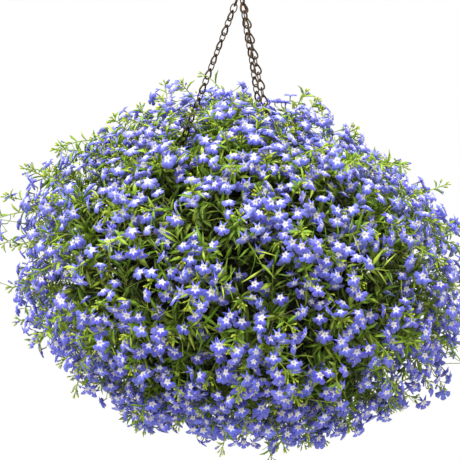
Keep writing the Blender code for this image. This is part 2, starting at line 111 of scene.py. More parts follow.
def new_material(name):
    """Material with an empty Principled shader, its tree and that shader."""
    material = bpy.data.materials.new(name)
    material.use_nodes = True
    tree = material.node_tree
    return material, tree, tree.nodes["Principled BSDF"]


print("half-bright grey in linear light:", round(srgb("#808080")[0], 3))

# %% Studio
# The floor lies far below, because the plant hangs and is looked at from below too.
FLOOR_DROP = 6.0
FLOOR_RADIUS = 30.0
FLOOR_CORNERS = 64

floor_turns = np.linspace(0.0, 2.0 * np.pi, FLOOR_CORNERS, endpoint=False)
floor_x = FLOOR_RADIUS * np.cos(floor_turns)
floor_y = FLOOR_RADIUS * np.sin(floor_turns)
floor_points = np.stack([floor_x, floor_y, np.full(FLOOR_CORNERS, -FLOOR_DROP)], axis=1)
floor_mesh = bpy.data.meshes.new("floor")
floor_mesh.from_pydata(floor_points.tolist(), [], [tuple(range(FLOOR_CORNERS))])
floor = bpy.data.objects.new("floor", floor_mesh)
bpy.context.scene.collection.objects.link(floor)
paper, tree, shader = new_material("matte white paper")
shader.inputs["Base Color"].default_value = srgb("#FFFFFF")
shader.inputs["Roughness"].default_value = 1.0
shader.inputs["Specular IOR Level"].default_value = 0.0
floor_mesh.materials.append(paper)

sky = bpy.data.worlds.new("white studio")
sky.use_nodes = True
sky.node_tree.nodes["Background"].inputs["Color"].default_value = (1.0, 1.0, 1.0, 1.0)
sky.node_tree.nodes["Background"].inputs["Strength"].default_value = 1.0
bpy.context.scene.world = sky


def soft_box(name, place, target, side, power):
    """Square soft light at a place that faces a target."""
    lamp = bpy.data.lights.new(name, "AREA")
    lamp.size = side
    lamp.energy = power
    box = bpy.data.objects.new(name, lamp)
    bpy.context.scene.collection.objects.link(box)
    box.location = place
    away = np.array(place) - np.array(target)
    flat = math.hypot(away[0], away[1])
    box.rotation_euler = (math.atan2(flat, away[2]), 0.0, math.atan2(away[1], away[0]) + math.pi / 2.0)


ball_middle = (0.0, 0.0, -0.33)
soft_box("key light", (-0.9, -1.6, 1.6), ball_middle, side=1.2, power=60.0)
soft_box("top light", (0.3, 0.2, 1.9), ball_middle, side=1.6, power=45.0)
print("studio: a floor", 2.0 * FLOOR_RADIUS, "m wide and", len(bpy.data.lights), "soft lights")

# %% [markdown]
# ## Meshes from whole arrays
# A plant is thousands of small shapes. Each kind of shape is worked out once, as a surface on a
# grid, and numpy lays all its copies in one step: a copy is the shape stretched, turned and
# moved. Nothing is an instance, so that the exported model keeps every leaf.

# %% Shapes and their copies
def unit(vectors):
    """Each vector divided by its own length."""
    return vectors / np.linalg.norm(vectors, axis=-1, keepdims=True)


def grid_faces(rows, around):
    """Quads of a tube of rows of corners, each row closed on itself."""
    row, turn = np.meshgrid(np.arange(rows - 1), np.arange(around), indexing="ij")
    beside = (turn + 1) % around
    low, high = row * around, (row + 1) * around
    return np.stack([low + turn, low + beside, high + beside, high + turn], axis=-1).reshape(-1, 4)


class Shape:
    """Points, faces, a UV pair for each face corner and a material number for each face."""

    def __init__(self, points, faces, uvs, paints):
        self.points = np.asarray(points, float)
        self.totals = np.array([len(face) for face in faces])
        self.corners = np.concatenate([np.asarray(face) for face in faces])
        self.uvs = np.asarray(uvs, float).reshape(-1, 2)
        self.paints = np.asarray(paints)


class Batch:
    """Many copies of one shape, ready to go into a mesh."""

    def __init__(self, points, shape, tone, depth):
        count, size = points.shape[:2]
        self.points = points.reshape(-1, 3)
        starts = np.arange(count)[:, None] * size
        self.corners = (shape.corners[None] + starts).ravel()
        self.totals = np.tile(shape.totals, count)
        self.uvs = np.tile(shape.uvs, (count, 1))
        self.paints = np.tile(shape.paints, count)
        self.tone = np.repeat(tone, size)
        self.depth = np.repeat(depth, size) if np.ndim(depth) == 1 else np.ravel(depth)


def lay(shape, places, frames, sizes, tone, depth):
    """Copies of a shape. A point is place + frame * (size * corner), for every copy at once."""
    stretched = shape.points[None] * sizes[:, None, :]
    points = np.einsum("nij,nkj->nki", frames, stretched) + places[:, None, :]
    return Batch(points, shape, tone, depth)


print("3 rows of 4 corners make", len(grid_faces(3, 4)), "quads")

# %% Tubes
def tube_shape(rows, sides, paint):
    """Faces of a tube with flat ends: u runs along it and v round it."""
    side_faces = grid_faces(rows, sides)
    faces = [tuple(face) for face in side_faces]
    row = side_faces // sides
    turn = np.tile([0, 1, 1, 0], (len(side_faces), 1)) + side_faces[:, :1] % sides
    uvs = np.stack([row / (rows - 1), turn / sides], axis=-1).reshape(-1, 2)
    faces.append(tuple(range(sides))[::-1])
    faces.append(tuple(range((rows - 1) * sides, rows * sides)))
    cap_uvs = [(0.0, 0.5)] * sides + [(1.0, 0.5)] * sides
    return Shape(
        np.zeros((rows * sides, 3)), faces, np.concatenate([uvs, cap_uvs]), [paint] * len(faces)
    )


def lay_tubes(paths, radii, sides, paint, tone, depth):
    """Tubes along paths: point = path + radius * (cos v * side + sin v * across), v round the tube."""
    along = unit(np.gradient(paths, axis=1))
    chord = unit(paths[:, -1] - paths[:, 0])
    hint = np.eye(3)[np.argmin(np.abs(chord), axis=1)]
    side = unit(np.cross(hint[:, None, :], along))
    across = np.cross(along, side)
    turn = np.linspace(0.0, 2.0 * np.pi, sides, endpoint=False)
    ring = np.cos(turn)[:, None] * side[:, :, None, :] + np.sin(turn)[:, None] * across[:, :, None, :]
    points = paths[:, :, None, :] + radii[:, :, None, None] * ring
    rows = paths.shape[1]
    shape = tube_shape(rows, sides, paint)
    whole_depth = depth if np.ndim(depth) == 1 else np.repeat(depth, sides, axis=1)
    return Batch(points.reshape(len(paths), rows * sides, 3), shape, tone, whole_depth)


print("with its flat ends, such a tube has", len(tube_shape(3, 4, 0).totals), "faces")

# %% One mesh from many batches
def put_in(name, batches, materials):
    """One object at the origin from batches of copies, with a UV map and two point attributes."""
    mesh = bpy.data.meshes.new(name)
    sizes = [len(batch.points) for batch in batches]
    starts = np.concatenate([[0], np.cumsum(sizes)[:-1]])
    points = np.concatenate([batch.points for batch in batches])
    corners = np.concatenate([batch.corners + start for batch, start in zip(batches, starts)])
    totals = np.concatenate([batch.totals for batch in batches])
    mesh.vertices.add(len(points))
    mesh.vertices.foreach_set("co", points.ravel())
    mesh.loops.add(len(corners))
    mesh.loops.foreach_set("vertex_index", corners.astype(np.int32))
    mesh.polygons.add(len(totals))
    mesh.polygons.foreach_set("loop_start", (np.cumsum(totals) - totals).astype(np.int32))
    mesh.polygons.foreach_set("loop_total", totals.astype(np.int32))
    paints = np.concatenate([batch.paints for batch in batches])
    mesh.polygons.foreach_set("material_index", paints.astype(np.int32))
    mesh.polygons.foreach_set("use_smooth", np.ones(len(totals), bool))
    layer = mesh.uv_layers.new(name="own")
    uvs = np.concatenate([batch.uvs for batch in batches])
    layer.data.foreach_set("uv", uvs.ravel())
    for label in ("tone", "depth"):
        values = np.concatenate([getattr(batch, label) for batch in batches])
        mesh.attributes.new(label, "FLOAT", "POINT").data.foreach_set("value", values.astype(np.float32))
    for material in materials:
        mesh.materials.append(material)
    mesh.update(calc_edges=True)
    thing = bpy.data.objects.new(name, mesh)
    bpy.context.scene.collection.objects.link(thing)
    return thing


print("each mesh gets its own UV map, and a tone and a depth at every point")

# %% [markdown]
# ## The metal: ring, chains and rim rings
# The chains are bent from round steel wire with a thin brown coat. Their links take turns: an open
# oval, then a pear-shaped one with its wide end down. One link could be drawn and copied with an
# array along a curve. Here each link's loop is worked out on its own place on the chain's line,
# so that the chain ends neatly in its two rings.

# %% Metal finish
# Brown-lacquered steel wire: thin satin coat over metal, so it is dark, slightly uneven and has a
# soft gleam along the wire. Grain of the coat about 3 mm.
bronze, tree, shader = new_material("lacquered steel wire")
coordinates = add(tree, "TexCoord")
coat = add(tree, "TexNoise", {"Vector": coordinates.outputs["Object"], "Scale": 330.0, "Detail": 3.0})
browns = ((0.3, "#2A1D12"), (0.55, "#4A3620"), (0.8, "#7A6244"))
tint = add(tree, "ValToRGB", {"Fac": coat.outputs["Fac"]}, browns)
tree.links.new(tint.outputs[0], shader.inputs["Base Color"])
shader.inputs["Metallic"].default_value = 0.7
shader.inputs["Roughness"].default_value = 0.38
bump = add(tree, "Bump", {"Height": coat.outputs["Fac"], "Strength": 0.15, "Distance": 0.0002})
tree.links.new(bump.outputs[0], shader.inputs["Normal"])
print(bronze.name + ":", len(tree.nodes), "nodes")

# %% Ring of wire
RING_RADIUS = 0.0165
RING_WIRE = 0.0015
RING_CENTRE = np.array([0.0, 0.0, -(RING_RADIUS - RING_WIRE)])
Y_AXIS, UP = np.eye(3)[1:]


def lay_loops(centres, sides, ups, half_width, half_length, pear, wire, steps=28, round_steps=8):
    """Closed wire loops: half_width * (1 - pear cos t) sin t across and half_length * cos t along.

    The wire's own round section is carried along each loop. Every loop has its own sizes.
    """
    turn = np.linspace(0.0, 2.0 * np.pi, steps, endpoint=False)
    wide = (half_width[:, None] * (1.0 - pear[:, None] * np.cos(turn)) * np.sin(turn))[..., None]
    long = (half_length[:, None] * np.cos(turn))[..., None]
    path = centres[:, None] + wide * sides[:, None] + long * ups[:, None]
    along = unit(np.roll(path, -1, axis=1) - np.roll(path, 1, axis=1))
    normal = np.cross(sides, ups)[:, None] + 0.0 * along
    across = np.cross(along, normal)
    v = np.linspace(0.0, 2.0 * np.pi, round_steps, endpoint=False)
    ring = np.cos(v)[:, None] * normal[:, :, None] + np.sin(v)[:, None] * across[:, :, None]
    points = path[:, :, None] + wire[:, None, None, None] * ring
    faces = grid_faces(steps + 1, round_steps) % (steps * round_steps)
    blank = np.zeros((4 * len(faces), 2))
    shape = Shape(np.zeros((steps * round_steps, 3)), faces[:, ::-1], blank, [0] * len(faces))
    flat = np.zeros(len(centres))
    return Batch(points.reshape(len(centres), -1, 3), shape, flat, flat)


def plain_ring(centre, side, up, radius, wire, steps, round_steps):
    """One round ring of wire: a loop as long as it is wide, and not pear-shaped."""
    sizes = [np.array([value]) for value in (radius, radius, 0.0, wire)]
    return lay_loops(centre[None], side[None], up[None], *sizes, steps, round_steps)


def wear(thing, nodes):
    """A new piece stays with the object and stands for its nodes, which it hides."""
    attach(thing, "root")
    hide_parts(*nodes)


ring = plain_ring(RING_CENTRE, Y_AXIS, UP, RING_RADIUS, RING_WIRE, steps=72, round_steps=14)
wear(put_in("ring_of_wire", [ring], [bronze]), ["hanging_ring"])
print("ring:", round(2000.0 * (RING_RADIUS + RING_WIRE), 1), "mm across")

# %% Chains and rim rings
BASKET_TURN = 4.2
CHAIN_AZIMUTHS = (180.0 + BASKET_TURN, 60.0 + BASKET_TURN, -60.0 + BASKET_TURN)
CHAIN_START_Y = (0.0, 0.0064, -0.0064)
CHAIN_LINKS = (32, 31, 31)
PEAR_WIRE = 0.0010
PEAR_HALF_WIDTH = 0.0034
PEAR_SHARE = 0.50
OVAL_WIRE = 0.00065
OVAL_HALF_WIDTH = 0.0036
LINK_OVERLAP = 1.6
RIM_Z = -0.2885
FLANGE_THICKNESS = 0.0035
RIM_HOLE_PLACE = 0.0945
RIM_RING_RADIUS = 0.0055
RIM_RING_WIRE = 0.0009

# A hanging chain turns about its own line, here by so many degrees. The turn comes in over a few
# links at each end, and each link also sways by up to 7 degrees (0.12 radians).
CHAIN_TWISTS = (48.0, 20.0, 20.0)
TWIST_LINKS = 4.0
LINK_SWAY = 0.12
SWAY_STEP = 2.4


def outward(azimuth, polar=90.0):
    """Unit vector (sin p cos a, sin p sin a, cos p), angles in degrees."""
    a, p = np.radians(azimuth), np.radians(polar)
    return np.stack([np.sin(p) * np.cos(a), np.sin(p) * np.sin(a), np.cos(p) + 0.0 * a], axis=-1)


CHAIN_LINES = []
chain_facts = zip(CHAIN_AZIMUTHS, CHAIN_START_Y, CHAIN_LINKS, CHAIN_TWISTS)
for number, (azimuth, start_y, links, full_twist) in enumerate(chain_facts, 1):
    seat = RING_CENTRE + np.array([0.0, start_y, -math.sqrt(RING_RADIUS**2 - start_y**2)])
    middle = outward(azimuth) * (RIM_HOLE_PLACE + RIM_RING_RADIUS)
    middle = middle + (RIM_Z - FLANGE_THICKNESS / 2.0) * UP
    CHAIN_LINES.append((seat, middle))
    along = unit(middle - seat)
    start = seat - along * (RING_WIRE + PEAR_WIRE)
    end = middle + along * (PEAR_WIRE - RIM_RING_RADIUS + RIM_RING_WIRE)
    index = np.arange(links)
    pitch = (np.linalg.norm(end - start) - 2.0 * PEAR_WIRE) / links
    centres = start + along * (PEAR_WIRE + pitch * (index + 0.5))[:, None]
    is_pear = (links - 1 - index) % 2 == 0
    twisted = np.minimum(np.minimum(index, links - 1 - index) / TWIST_LINKS, 1.0)
    twist = math.radians(full_twist) * twisted + LINK_SWAY * np.sin(SWAY_STEP * index + number)
    twist = twist + np.where(is_pear, 0.0, np.pi / 2.0)
    flat = np.cross(UP, outward(azimuth))
    sides = np.cos(twist)[:, None] * flat + np.sin(twist)[:, None] * np.cross(along, flat)
    wire = np.where(is_pear, PEAR_WIRE, OVAL_WIRE)
    half_width = np.where(is_pear, PEAR_HALF_WIDTH, OVAL_HALF_WIDTH)
    half_length = pitch / 2.0 + LINK_OVERLAP * wire
    pear = np.where(is_pear, PEAR_SHARE, 0.0)
    loops = lay_loops(centres, sides, np.tile(-along, (links, 1)), half_width, half_length, pear, wire)
    wear(put_in(f"wire_chain_{number}", [loops], [bronze]), [f"chain_{number}"])
    small = plain_ring(middle, outward(azimuth), UP, RIM_RING_RADIUS, RIM_RING_WIRE, 40, 10)
    wear(put_in(f"wire_rim_ring_{number}", [small], [bronze]), [f"rim_ring_{number}"])
    print(f"chain {number}: {links} links, {1000 * pitch:.1f} mm a link")

# %% [markdown]
# ## Pot and soil
# The pot is moulded from dark green plastic and can hardly be seen between the sprays. Its solid
# already has the right shape, so it stays and only gets its finish.

# %% Pot and soil finishes
# Moulded polypropylene: matte from its textured mould, with a grain of about 1 mm.
plastic, tree, shader = new_material("moulded polypropylene")
coordinates = add(tree, "TexCoord")
grain = add(tree, "TexNoise", {"Vector": coordinates.outputs["Object"], "Scale": 900.0, "Detail": 2.0})
tint = add(tree, "ValToRGB", {"Fac": grain.outputs["Fac"]}, ((0.3, "#101A12"), (0.7, "#18261B")))
tree.links.new(tint.outputs[0], shader.inputs["Base Color"])
shader.inputs["Roughness"].default_value = 0.55
shader.inputs["IOR"].default_value = 1.49
bump = add(tree, "Bump", {"Height": grain.outputs["Fac"], "Strength": 0.3, "Distance": 0.0002})
tree.links.new(bump.outputs[0], shader.inputs["Normal"])

# Peat-based potting soil: dark brown crumbs of 2 to 6 mm, dry and dull on top.
earth, tree, shader = new_material("loose potting soil")
coordinates = add(tree, "TexCoord")
crumb = add(tree, "TexVoronoi", {"Vector": coordinates.outputs["Object"], "Scale": 260.0})
peat = ((0.0, "#1B120C"), (0.5, "#35241A"), (0.9, "#4A3527"))
tint = add(tree, "ValToRGB", {"Fac": crumb.outputs["Distance"]}, peat)
tree.links.new(tint.outputs[0], shader.inputs["Base Color"])
shader.inputs["Roughness"].default_value = 0.95
bump = add(tree, "Bump", {"Height": crumb.outputs["Distance"], "Strength": 0.9, "Distance": 0.002})
tree.links.new(bump.outputs[0], shader.inputs["Normal"])

for node, material in (("pot", plastic), ("soil", earth)):
    bpy.data.objects[node].data.materials.clear()
    bpy.data.objects[node].data.materials.append(material)
    print(node + ":", material.name)

# %% [markdown]
# ## Where the plant grows
# The sprays spread into a ball that is fuller at the upper left and lower right. The ball's
# surface is the same formula that shaped the solids, and so are each spray's cell and its stem,
# so every finer spray fills the place of the one that it stands for.

# %% The ball and its cells
BALL_CENTRE = np.array([0.0, 0.0, RIM_Z - 0.044])
BALL_HALF_WIDTH = 0.268
BALL_RISE = 0.198
BALL_DROP = 0.213
BALL_ROUNDNESS = 1.80
LEAN = 0.065
LEAN_RIGHT = 0.035
SOIL_DROP = 0.014
STEM_DEPTH = 0.009

# Bulges and hollows where the plant grew more or less: azimuth, polar angle and spread in degrees,
# and the share that they add to the ball's size.
LUMPS = np.array([
    (180, 45, 12, -0.06), (180, 70, 13, 0.06), (180, 104, 10, 0.04), (180, 130, 12, -0.03),
    (180, 155, 10, 0.04), (0, 178, 12, -0.04), (0, 162, 7, 0.04), (0, 146, 9, -0.10),
    (0, 118, 12, 0.05), (0, 62, 12, -0.05), (60, 75, 16, 0.04), (120, 112, 16, 0.04),
    (90, 95, 14, -0.04), (250, 80, 16, 0.04), (300, 105, 14, -0.04),
])

# Tiers, top to bottom: name, sprays, polar angles, first azimuth, the stem's turn from the middle
# of its cell, how far out its hub is, and the stem's path as (distance, height over the rim).
TIERS = (
    ("crown", 3, 0.0, 30.0, 0.0, 0.0, 0.60, ((0.025, -0.006),)),
    ("shoulder", 6, 30.0, 62.0, 30.0, 0.0, 0.56, ((0.045, -0.006),)),
    ("side", 12, 62.0, 92.0, 15.0, 0.0, 0.56, ((0.069, -0.006), (0.093, 0.013))),
    ("lower", 12, 92.0, 122.0, 0.0, 7.5, 0.62, ((0.069, -0.006), (0.093, 0.013), (0.133, -0.016))),
    ("hanging", 6, 122.0, 156.0, 30.0, 0.0, 0.72,
     ((0.058, -0.006), (0.093, 0.013), (0.121, -0.012), (0.119, -0.100))),
)
print(len(TIERS), "tiers of sprays,", len(LUMPS), "bulges and hollows")

# %% The ball's surface
def swell(direction, lumps):
    """Share added by lumps: each adds share * exp((cos of the angle to it - 1) / (1 - cos spread))."""
    closeness = direction @ outward(lumps[:, 0], lumps[:, 1]).T - 1.0
    return np.exp(closeness / (1.0 - np.cos(np.radians(lumps[:, 2])))) @ lumps[:, 3]


def reach(direction):
    """Distance from the ball's centre to its surface along unit directions.

    The radius r of (flat r / width)^p + (z r / rise)^p = 1, an ellipsoid with its shoulders drawn
    in, made longer to the upper left and lower right by a lean term, and then by its lumps.
    """
    x, z = direction[..., 0], direction[..., 2]
    flat = np.hypot(direction[..., 0], direction[..., 1])
    rise = np.where(z > 0.0, BALL_RISE, BALL_DROP)
    power = BALL_ROUNDNESS
    plain = ((flat / BALL_HALF_WIDTH) ** power + (np.abs(z) / rise) ** power) ** (-1.0 / power)
    sideways = x / np.maximum(flat, 1e-6)
    lean = LEAN * sideways + LEAN_RIGHT * sideways**2
    return plain * (1.0 - lean * 2.0 * flat * z) * (1.0 + swell(direction, LUMPS))


def share_of_reach(points):
    """How far points are from the ball's centre, as a share of its surface's distance."""
    away = points - BALL_CENTRE
    distance = np.linalg.norm(away, axis=-1)
    return distance / reach(away / np.maximum(distance, 1e-9)[..., None])


def smooth_path(points, count):
    """Catmull-Rom curve through points, in even steps of its parameter.

    On the stretch from b to c, with a before it and d behind it, the curve is
    (2b + (c - a) t + (2a - 5b + 4c - d) t^2 + (3b - a - 3c + d) t^3) / 2.
    """
    points = np.asarray(points)
    padded = np.concatenate([[2 * points[0] - points[1]], points, [2 * points[-1] - points[-2]]])
    place = np.linspace(0.0, len(points) - 1.0, count)
    start = np.minimum(place.astype(int), len(points) - 2)
    t = (place - start)[:, None]
    a, b, c, d = (padded[start + shift] for shift in range(4))
    square = 2 * a - 5 * b + 4 * c - d
    cube = 3 * b - a - 3 * c + d
    return 0.5 * (2 * b + (c - a) * t + square * t**2 + cube * t**3)


print("widest reach:", round(float(reach(outward(np.arange(0.0, 360.0, 5.0))).max()), 3), "m")

# %% Sprays and their stems
# The crown's hubs lean out by so many degrees at least, so that they don't meet at the top.
CROWN_TILT = 17.0

SPRAYS = []
for tier, count, low, high, first, turn, hub_share, path in TIERS:
    for number in range(count):
        azimuth = BASKET_TURN + first + 360.0 / count * number
        middle = outward(azimuth, max((low + high) / 2.0, CROWN_TILT))
        hub = BALL_CENTRE + middle * hub_share * reach(middle)
        stem_side = outward(azimuth + turn)
        foot = stem_side * path[0][0] + (RIM_Z - SOIL_DROP - STEM_DEPTH) * UP
        bends = [stem_side * distance + (RIM_Z + height) * UP for distance, height in path]
        SPRAYS.append(
            dict(name=f"{tier}_{number + 1}", azimuth=azimuth, half_width=180.0 / count,
                 low=low, high=high, hub=hub, stem=[foot, *bends, hub])
        )
print(len(SPRAYS), "sprays")

# %% [markdown]
# ## The twigs
# Each spray is one trailing stem that breaks into many thin twigs. Twig tips could be thrown at
# random over the ball, but that leaves bald spots. A golden-angle spiral over a sphere spreads
# them evenly, a small random push makes them natural, and each tip joins the spray whose
# cell it lies in.

# %% Twigs
# Where the fine twigs reach less or further than the ball's surface, as in its list of lumps
TRIMS = np.array([
    (0, 180, 22, -0.17), (0, 145, 12, -0.22), (0, 67, 8, 0.19), (0, 121, 6, 0.07),
    (180, 56, 7, -0.09), (180, 66, 4, -0.07), (180, 84, 6, 0.06), (180, 104, 7, 0.05),
    (180, 30, 6, 0.07), (120, 30, 12, 0.05), (250, 40, 12, 0.04),
])
TWIGS = 346
TWIG_POINTS = 12
TWIG_RADIUS = 0.0011
TWIG_TAPER = 0.0006
TWIG_ARCH = 0.20
LOWEST_POLAR = 167.0
GOLDEN_ANGLE = math.pi * (3.0 - math.sqrt(5.0))
GROWTH_SEED = 7

# Random pushes: degrees for the two angles of a tip, metres for the bend of a twig
AZIMUTH_PUSH = 3.0
POLAR_PUSH = 2.2
BEND_PUSH = 0.010

# How far out tips lie, as a share of the ball's reach. One twig in five is a sprig that stands
# out further. On the crown both kinds differ more.
TIP_SHARE = (0.86, 1.03)
SPRIG_SHARE = 0.20
SPRIG_EXTRA = 0.07
CROWN_POLAR = (35.0, 65.0)
CROWN_EXTRA = (0.05, 0.0)


def even_directions(count, lowest):
    """Azimuths and polar angles in degrees, spread evenly over a sphere down to a lowest angle.

    The height falls by the same step each time, and the azimuth turns by a golden angle.
    """
    number = np.arange(count)
    height = 1.0 - (number + 0.5) / count * (1.0 - math.cos(math.radians(lowest)))
    return np.degrees(number * GOLDEN_ANGLE), np.degrees(np.arccos(height))


def even_steps(curves, points, last=1.0):
    """Even shares of length from 0 to the last, one row for each curve."""
    return np.tile(np.linspace(0.0, last, points), (curves, 1))


def bezier(a, b, c, t):
    """Points (1 - t)^2 a + 2 t (1 - t) b + t^2 c, for every curve and every t."""
    a, b, c = a[:, None], b[:, None], c[:, None]
    t = t[..., None]
    return (1.0 - t) ** 2 * a + 2.0 * t * (1.0 - t) * b + t**2 * c


chance = np.random.default_rng(GROWTH_SEED)
azimuth, polar = even_directions(TWIGS, LOWEST_POLAR)
azimuth = azimuth + chance.normal(0.0, AZIMUTH_PUSH, TWIGS)
polar = np.clip(polar + chance.normal(0.0, POLAR_PUSH, TWIGS), 1.0, LOWEST_POLAR)
tip_direction = outward(azimuth, polar)
is_sprig = chance.uniform(0.0, 1.0, TWIGS) > 1.0 - SPRIG_SHARE
crown_extra = np.interp(polar, CROWN_POLAR, CROWN_EXTRA)
crown_change = np.where(is_sprig, crown_extra, -crown_extra)
tip_share = chance.uniform(*TIP_SHARE, TWIGS) + (SPRIG_EXTRA * is_sprig + crown_change)
tip_share *= 1.0 + swell(tip_direction, TRIMS)
tips = BALL_CENTRE + tip_direction * (reach(tip_direction) * tip_share)[:, None]
print(TWIGS, "twigs,", int(is_sprig.sum()), "of them sprigs")

# %% Each twig's spray and path
owner = np.zeros(TWIGS, int)
for number, spray in enumerate(SPRAYS):
    off = (azimuth - spray["azimuth"] + 180.0) % 360.0 - 180.0
    inside = (np.abs(off) <= spray["half_width"]) & (polar >= spray["low"]) & (polar < spray["high"])
    owner[inside] = number

# The hanging sprays also take the tips below their own cells.
hanging, lowest_cell = TIERS[-1][1], TIERS[-1][3]
under = polar >= lowest_cell
sector = (azimuth[under] - BASKET_TURN) % 360.0 // (360.0 / hanging)
owner[under] = len(SPRAYS) - hanging + sector.astype(int)

hubs = np.array([spray["hub"] for spray in SPRAYS])[owner]
bend = 0.5 * (hubs + tips)
bend += TWIG_ARCH * np.linalg.norm(tips - hubs, axis=1)[:, None] * UP
bend += chance.normal(0.0, BEND_PUSH, (TWIGS, 3))
twig_steps = even_steps(TWIGS, TWIG_POINTS)
twig_paths = bezier(hubs, bend, tips, twig_steps)
twig_radii = TWIG_RADIUS - TWIG_TAPER * twig_steps
print("mean twig:", round(float(np.mean(np.linalg.norm(tips - hubs, axis=1))), 3), "m")

# %% [markdown]
# ## The flower, the leaf and the bud
# A lobelia flower is a short tube that opens into five lobes: three broad ones that point down
# and out, and two narrow ones that point up, round a white eye. One flower could be sculpted,
# but it is repeated three thousand times, so it is one closed surface on a grid of
# angle and ring, with few faces. The leaves and buds are as frugal.

# %% Flower shape
# Outline seen from the front: angle in degrees from the flower's right, share of its radius, and
# how far the edge stands forward.
PETAL_OUTLINE = np.array([
    (-120, 0.48, 0.02), (-113, 0.93, -0.04), (-90, 1.03, -0.12), (-67, 0.93, -0.04), (-60, 0.46, 0.02),
    (-53, 0.92, -0.04), (-30, 1.01, -0.14), (-7, 0.90, -0.06), (8, 0.28, 0.00),
    (48, 0.52, -0.14), (58, 0.84, -0.30), (68, 0.52, -0.14), (90, 0.20, -0.02),
    (112, 0.52, -0.14), (122, 0.84, -0.30), (132, 0.52, -0.14),
    (172, 0.28, 0.00), (187, 0.90, -0.06), (210, 1.01, -0.14), (233, 0.92, -0.04),
])
EYE_SHARE = 0.30
THROAT_Z, EYE_Z, BACK_Z = -0.12, 0.05, -0.20

# The tube and then the calyx behind the face: z and radius
TUBE_PROFILE = ((-0.12, 0.13), (-0.55, 0.075), (-0.62, 0.11), (-0.88, 0.05))
TUBE_SIDES = 3

# The plant's pieces all carry the same four finishes, in this order.
PETAL, BLADE, SKIN, BUD = range(4)


def flower_shape():
    """Front z = a low dome between throat, eye ring and outline; back = a cone behind it.

    A three-sided tube and a calyx follow behind. UV holds the place on the face, from 0 to 1, and
    lies beyond 1 on the tube.
    """
    count = len(PETAL_OUTLINE)
    turn, share = np.radians(PETAL_OUTLINE[:, 0]), PETAL_OUTLINE[:, 1]
    flat = np.stack([np.cos(turn), np.sin(turn)], axis=1)
    eye = np.minimum(EYE_SHARE, 0.62 * share)[:, None] * flat
    edge = share[:, None] * flat
    points = [(0.0, 0.0, THROAT_Z)]
    points += [(x, y, EYE_Z) for x, y in eye]
    points += [(x, y, z) for (x, y), z in zip(edge, PETAL_OUTLINE[:, 2])]
    points += [(0.0, 0.0, BACK_Z)]
    faces, uvs, paints = [], [], []

    def place(index):
        return 0.5 + 0.5 * points[index][0], 0.5 + 0.5 * points[index][1]

    for k in range(count):
        beside = (k + 1) % count
        faces += [(0, 1 + k, 1 + beside), (1 + k, 1 + count + k, 1 + count + beside, 1 + beside)]
        uvs += [place(c) for c in faces[-2]] + [place(c) for c in faces[-1]]
        faces.append((1 + count + beside, 1 + count + k, 1 + 2 * count))
        uvs += [(1.0, 0.5)] * 3
        paints += [PETAL] * 3
    first, rows = len(points), len(TUBE_PROFILE)
    corner = np.arange(TUBE_SIDES) * math.tau / TUBE_SIDES + math.pi / 6.0
    for z, radius in TUBE_PROFILE:
        points += [(radius * math.cos(c), radius * math.sin(c), z) for c in corner]
    for number, face in enumerate(grid_faces(rows, TUBE_SIDES) + first):
        faces.append(tuple(face[::-1]))
        uvs += [(2.5, 0.5)] * 4
        paints.append(PETAL if number < TUBE_SIDES else SKIN)
    last = first + (rows - 1) * TUBE_SIDES
    faces += [tuple(range(first, first + TUBE_SIDES)), tuple(range(last, last + TUBE_SIDES))[::-1]]
    uvs += [(2.5, 0.5)] * 2 * TUBE_SIDES
    paints += [PETAL, SKIN]
    return Shape(points, faces, uvs, paints)


flower = flower_shape()
print("flower faces:", len(flower.totals))

# %% Leaf and bud shapes
# Stations along a leaf or bud of length 1: place, half width and, for a leaf, height
LEAF_STATIONS = ((0.0, 0.10, 0.0), (0.30, 0.80, 0.01), (0.66, 0.94, -0.05), (1.0, 0.05, -0.18))
SMALL_STATIONS = ((0.0, 0.12, 0.0), (0.45, 1.0, 0.0), (1.0, 0.06, -0.15))
BUD_STATIONS = ((0.0, 0.12), (0.25, 0.44), (0.48, 0.30), (0.80, 0.44), (1.0, 0.10))


def closed_shape(points, stations, across, paint):
    """Quads between rows of corners and a flat end at both: u is the place, v is that across."""
    rows, sides = len(stations), len(across)
    faces = [tuple(face) for face in grid_faces(rows, sides)]
    uvs = [(stations[c // sides][0], across[c % sides]) for face in faces for c in face]
    faces += [tuple(range(sides))[::-1], tuple(range(sides * (rows - 1), sides * rows))]
    uvs += [(0.0, 0.5)] * sides + [(1.0, 0.5)] * sides
    return Shape(points, faces, uvs, [paint] * len(faces))


def leaf_shape():
    """Lance-shaped leaf along y: its width and droop follow its stations.

    Both halves rise from the midrib by 0.14 of the half width, and the underside lies just below
    the midrib, so the leaf is closed.
    """
    points = []
    for y, width, height in LEAF_STATIONS:
        edge = height + 0.14 * width
        points += [(-width, y, edge), (0.0, y, height + 0.02), (width, y, edge), (0.0, y, height - 0.03)]
    return closed_shape(points, LEAF_STATIONS, (0.0, 0.5, 1.0, 0.5), BLADE)


def small_leaf_shape():
    """Narrow leaf along y with a three-cornered section: two edges and a keel below."""
    points = []
    for y, width, height in SMALL_STATIONS:
        points += [(-width, y, height), (width, y, height), (0.0, y, height - 0.05)]
    return closed_shape(points, SMALL_STATIONS, (0.0, 1.0, 0.5), BLADE)


def bud_shape():
    """Club-shaped bud along y: its stations, turned round its length in three steps."""
    turn = np.arange(3) * math.tau / 3
    points = [(r * math.cos(t), y, -r * math.sin(t)) for y, r in BUD_STATIONS for t in turn]
    return closed_shape(points, BUD_STATIONS, (0.5, 0.5, 0.5), BUD)


leaf, small_leaf, bud = leaf_shape(), small_leaf_shape(), bud_shape()
for label, shape in (("leaf", leaf), ("small leaf", small_leaf), ("bud", bud)):
    print(label, "faces:", len(shape.totals))

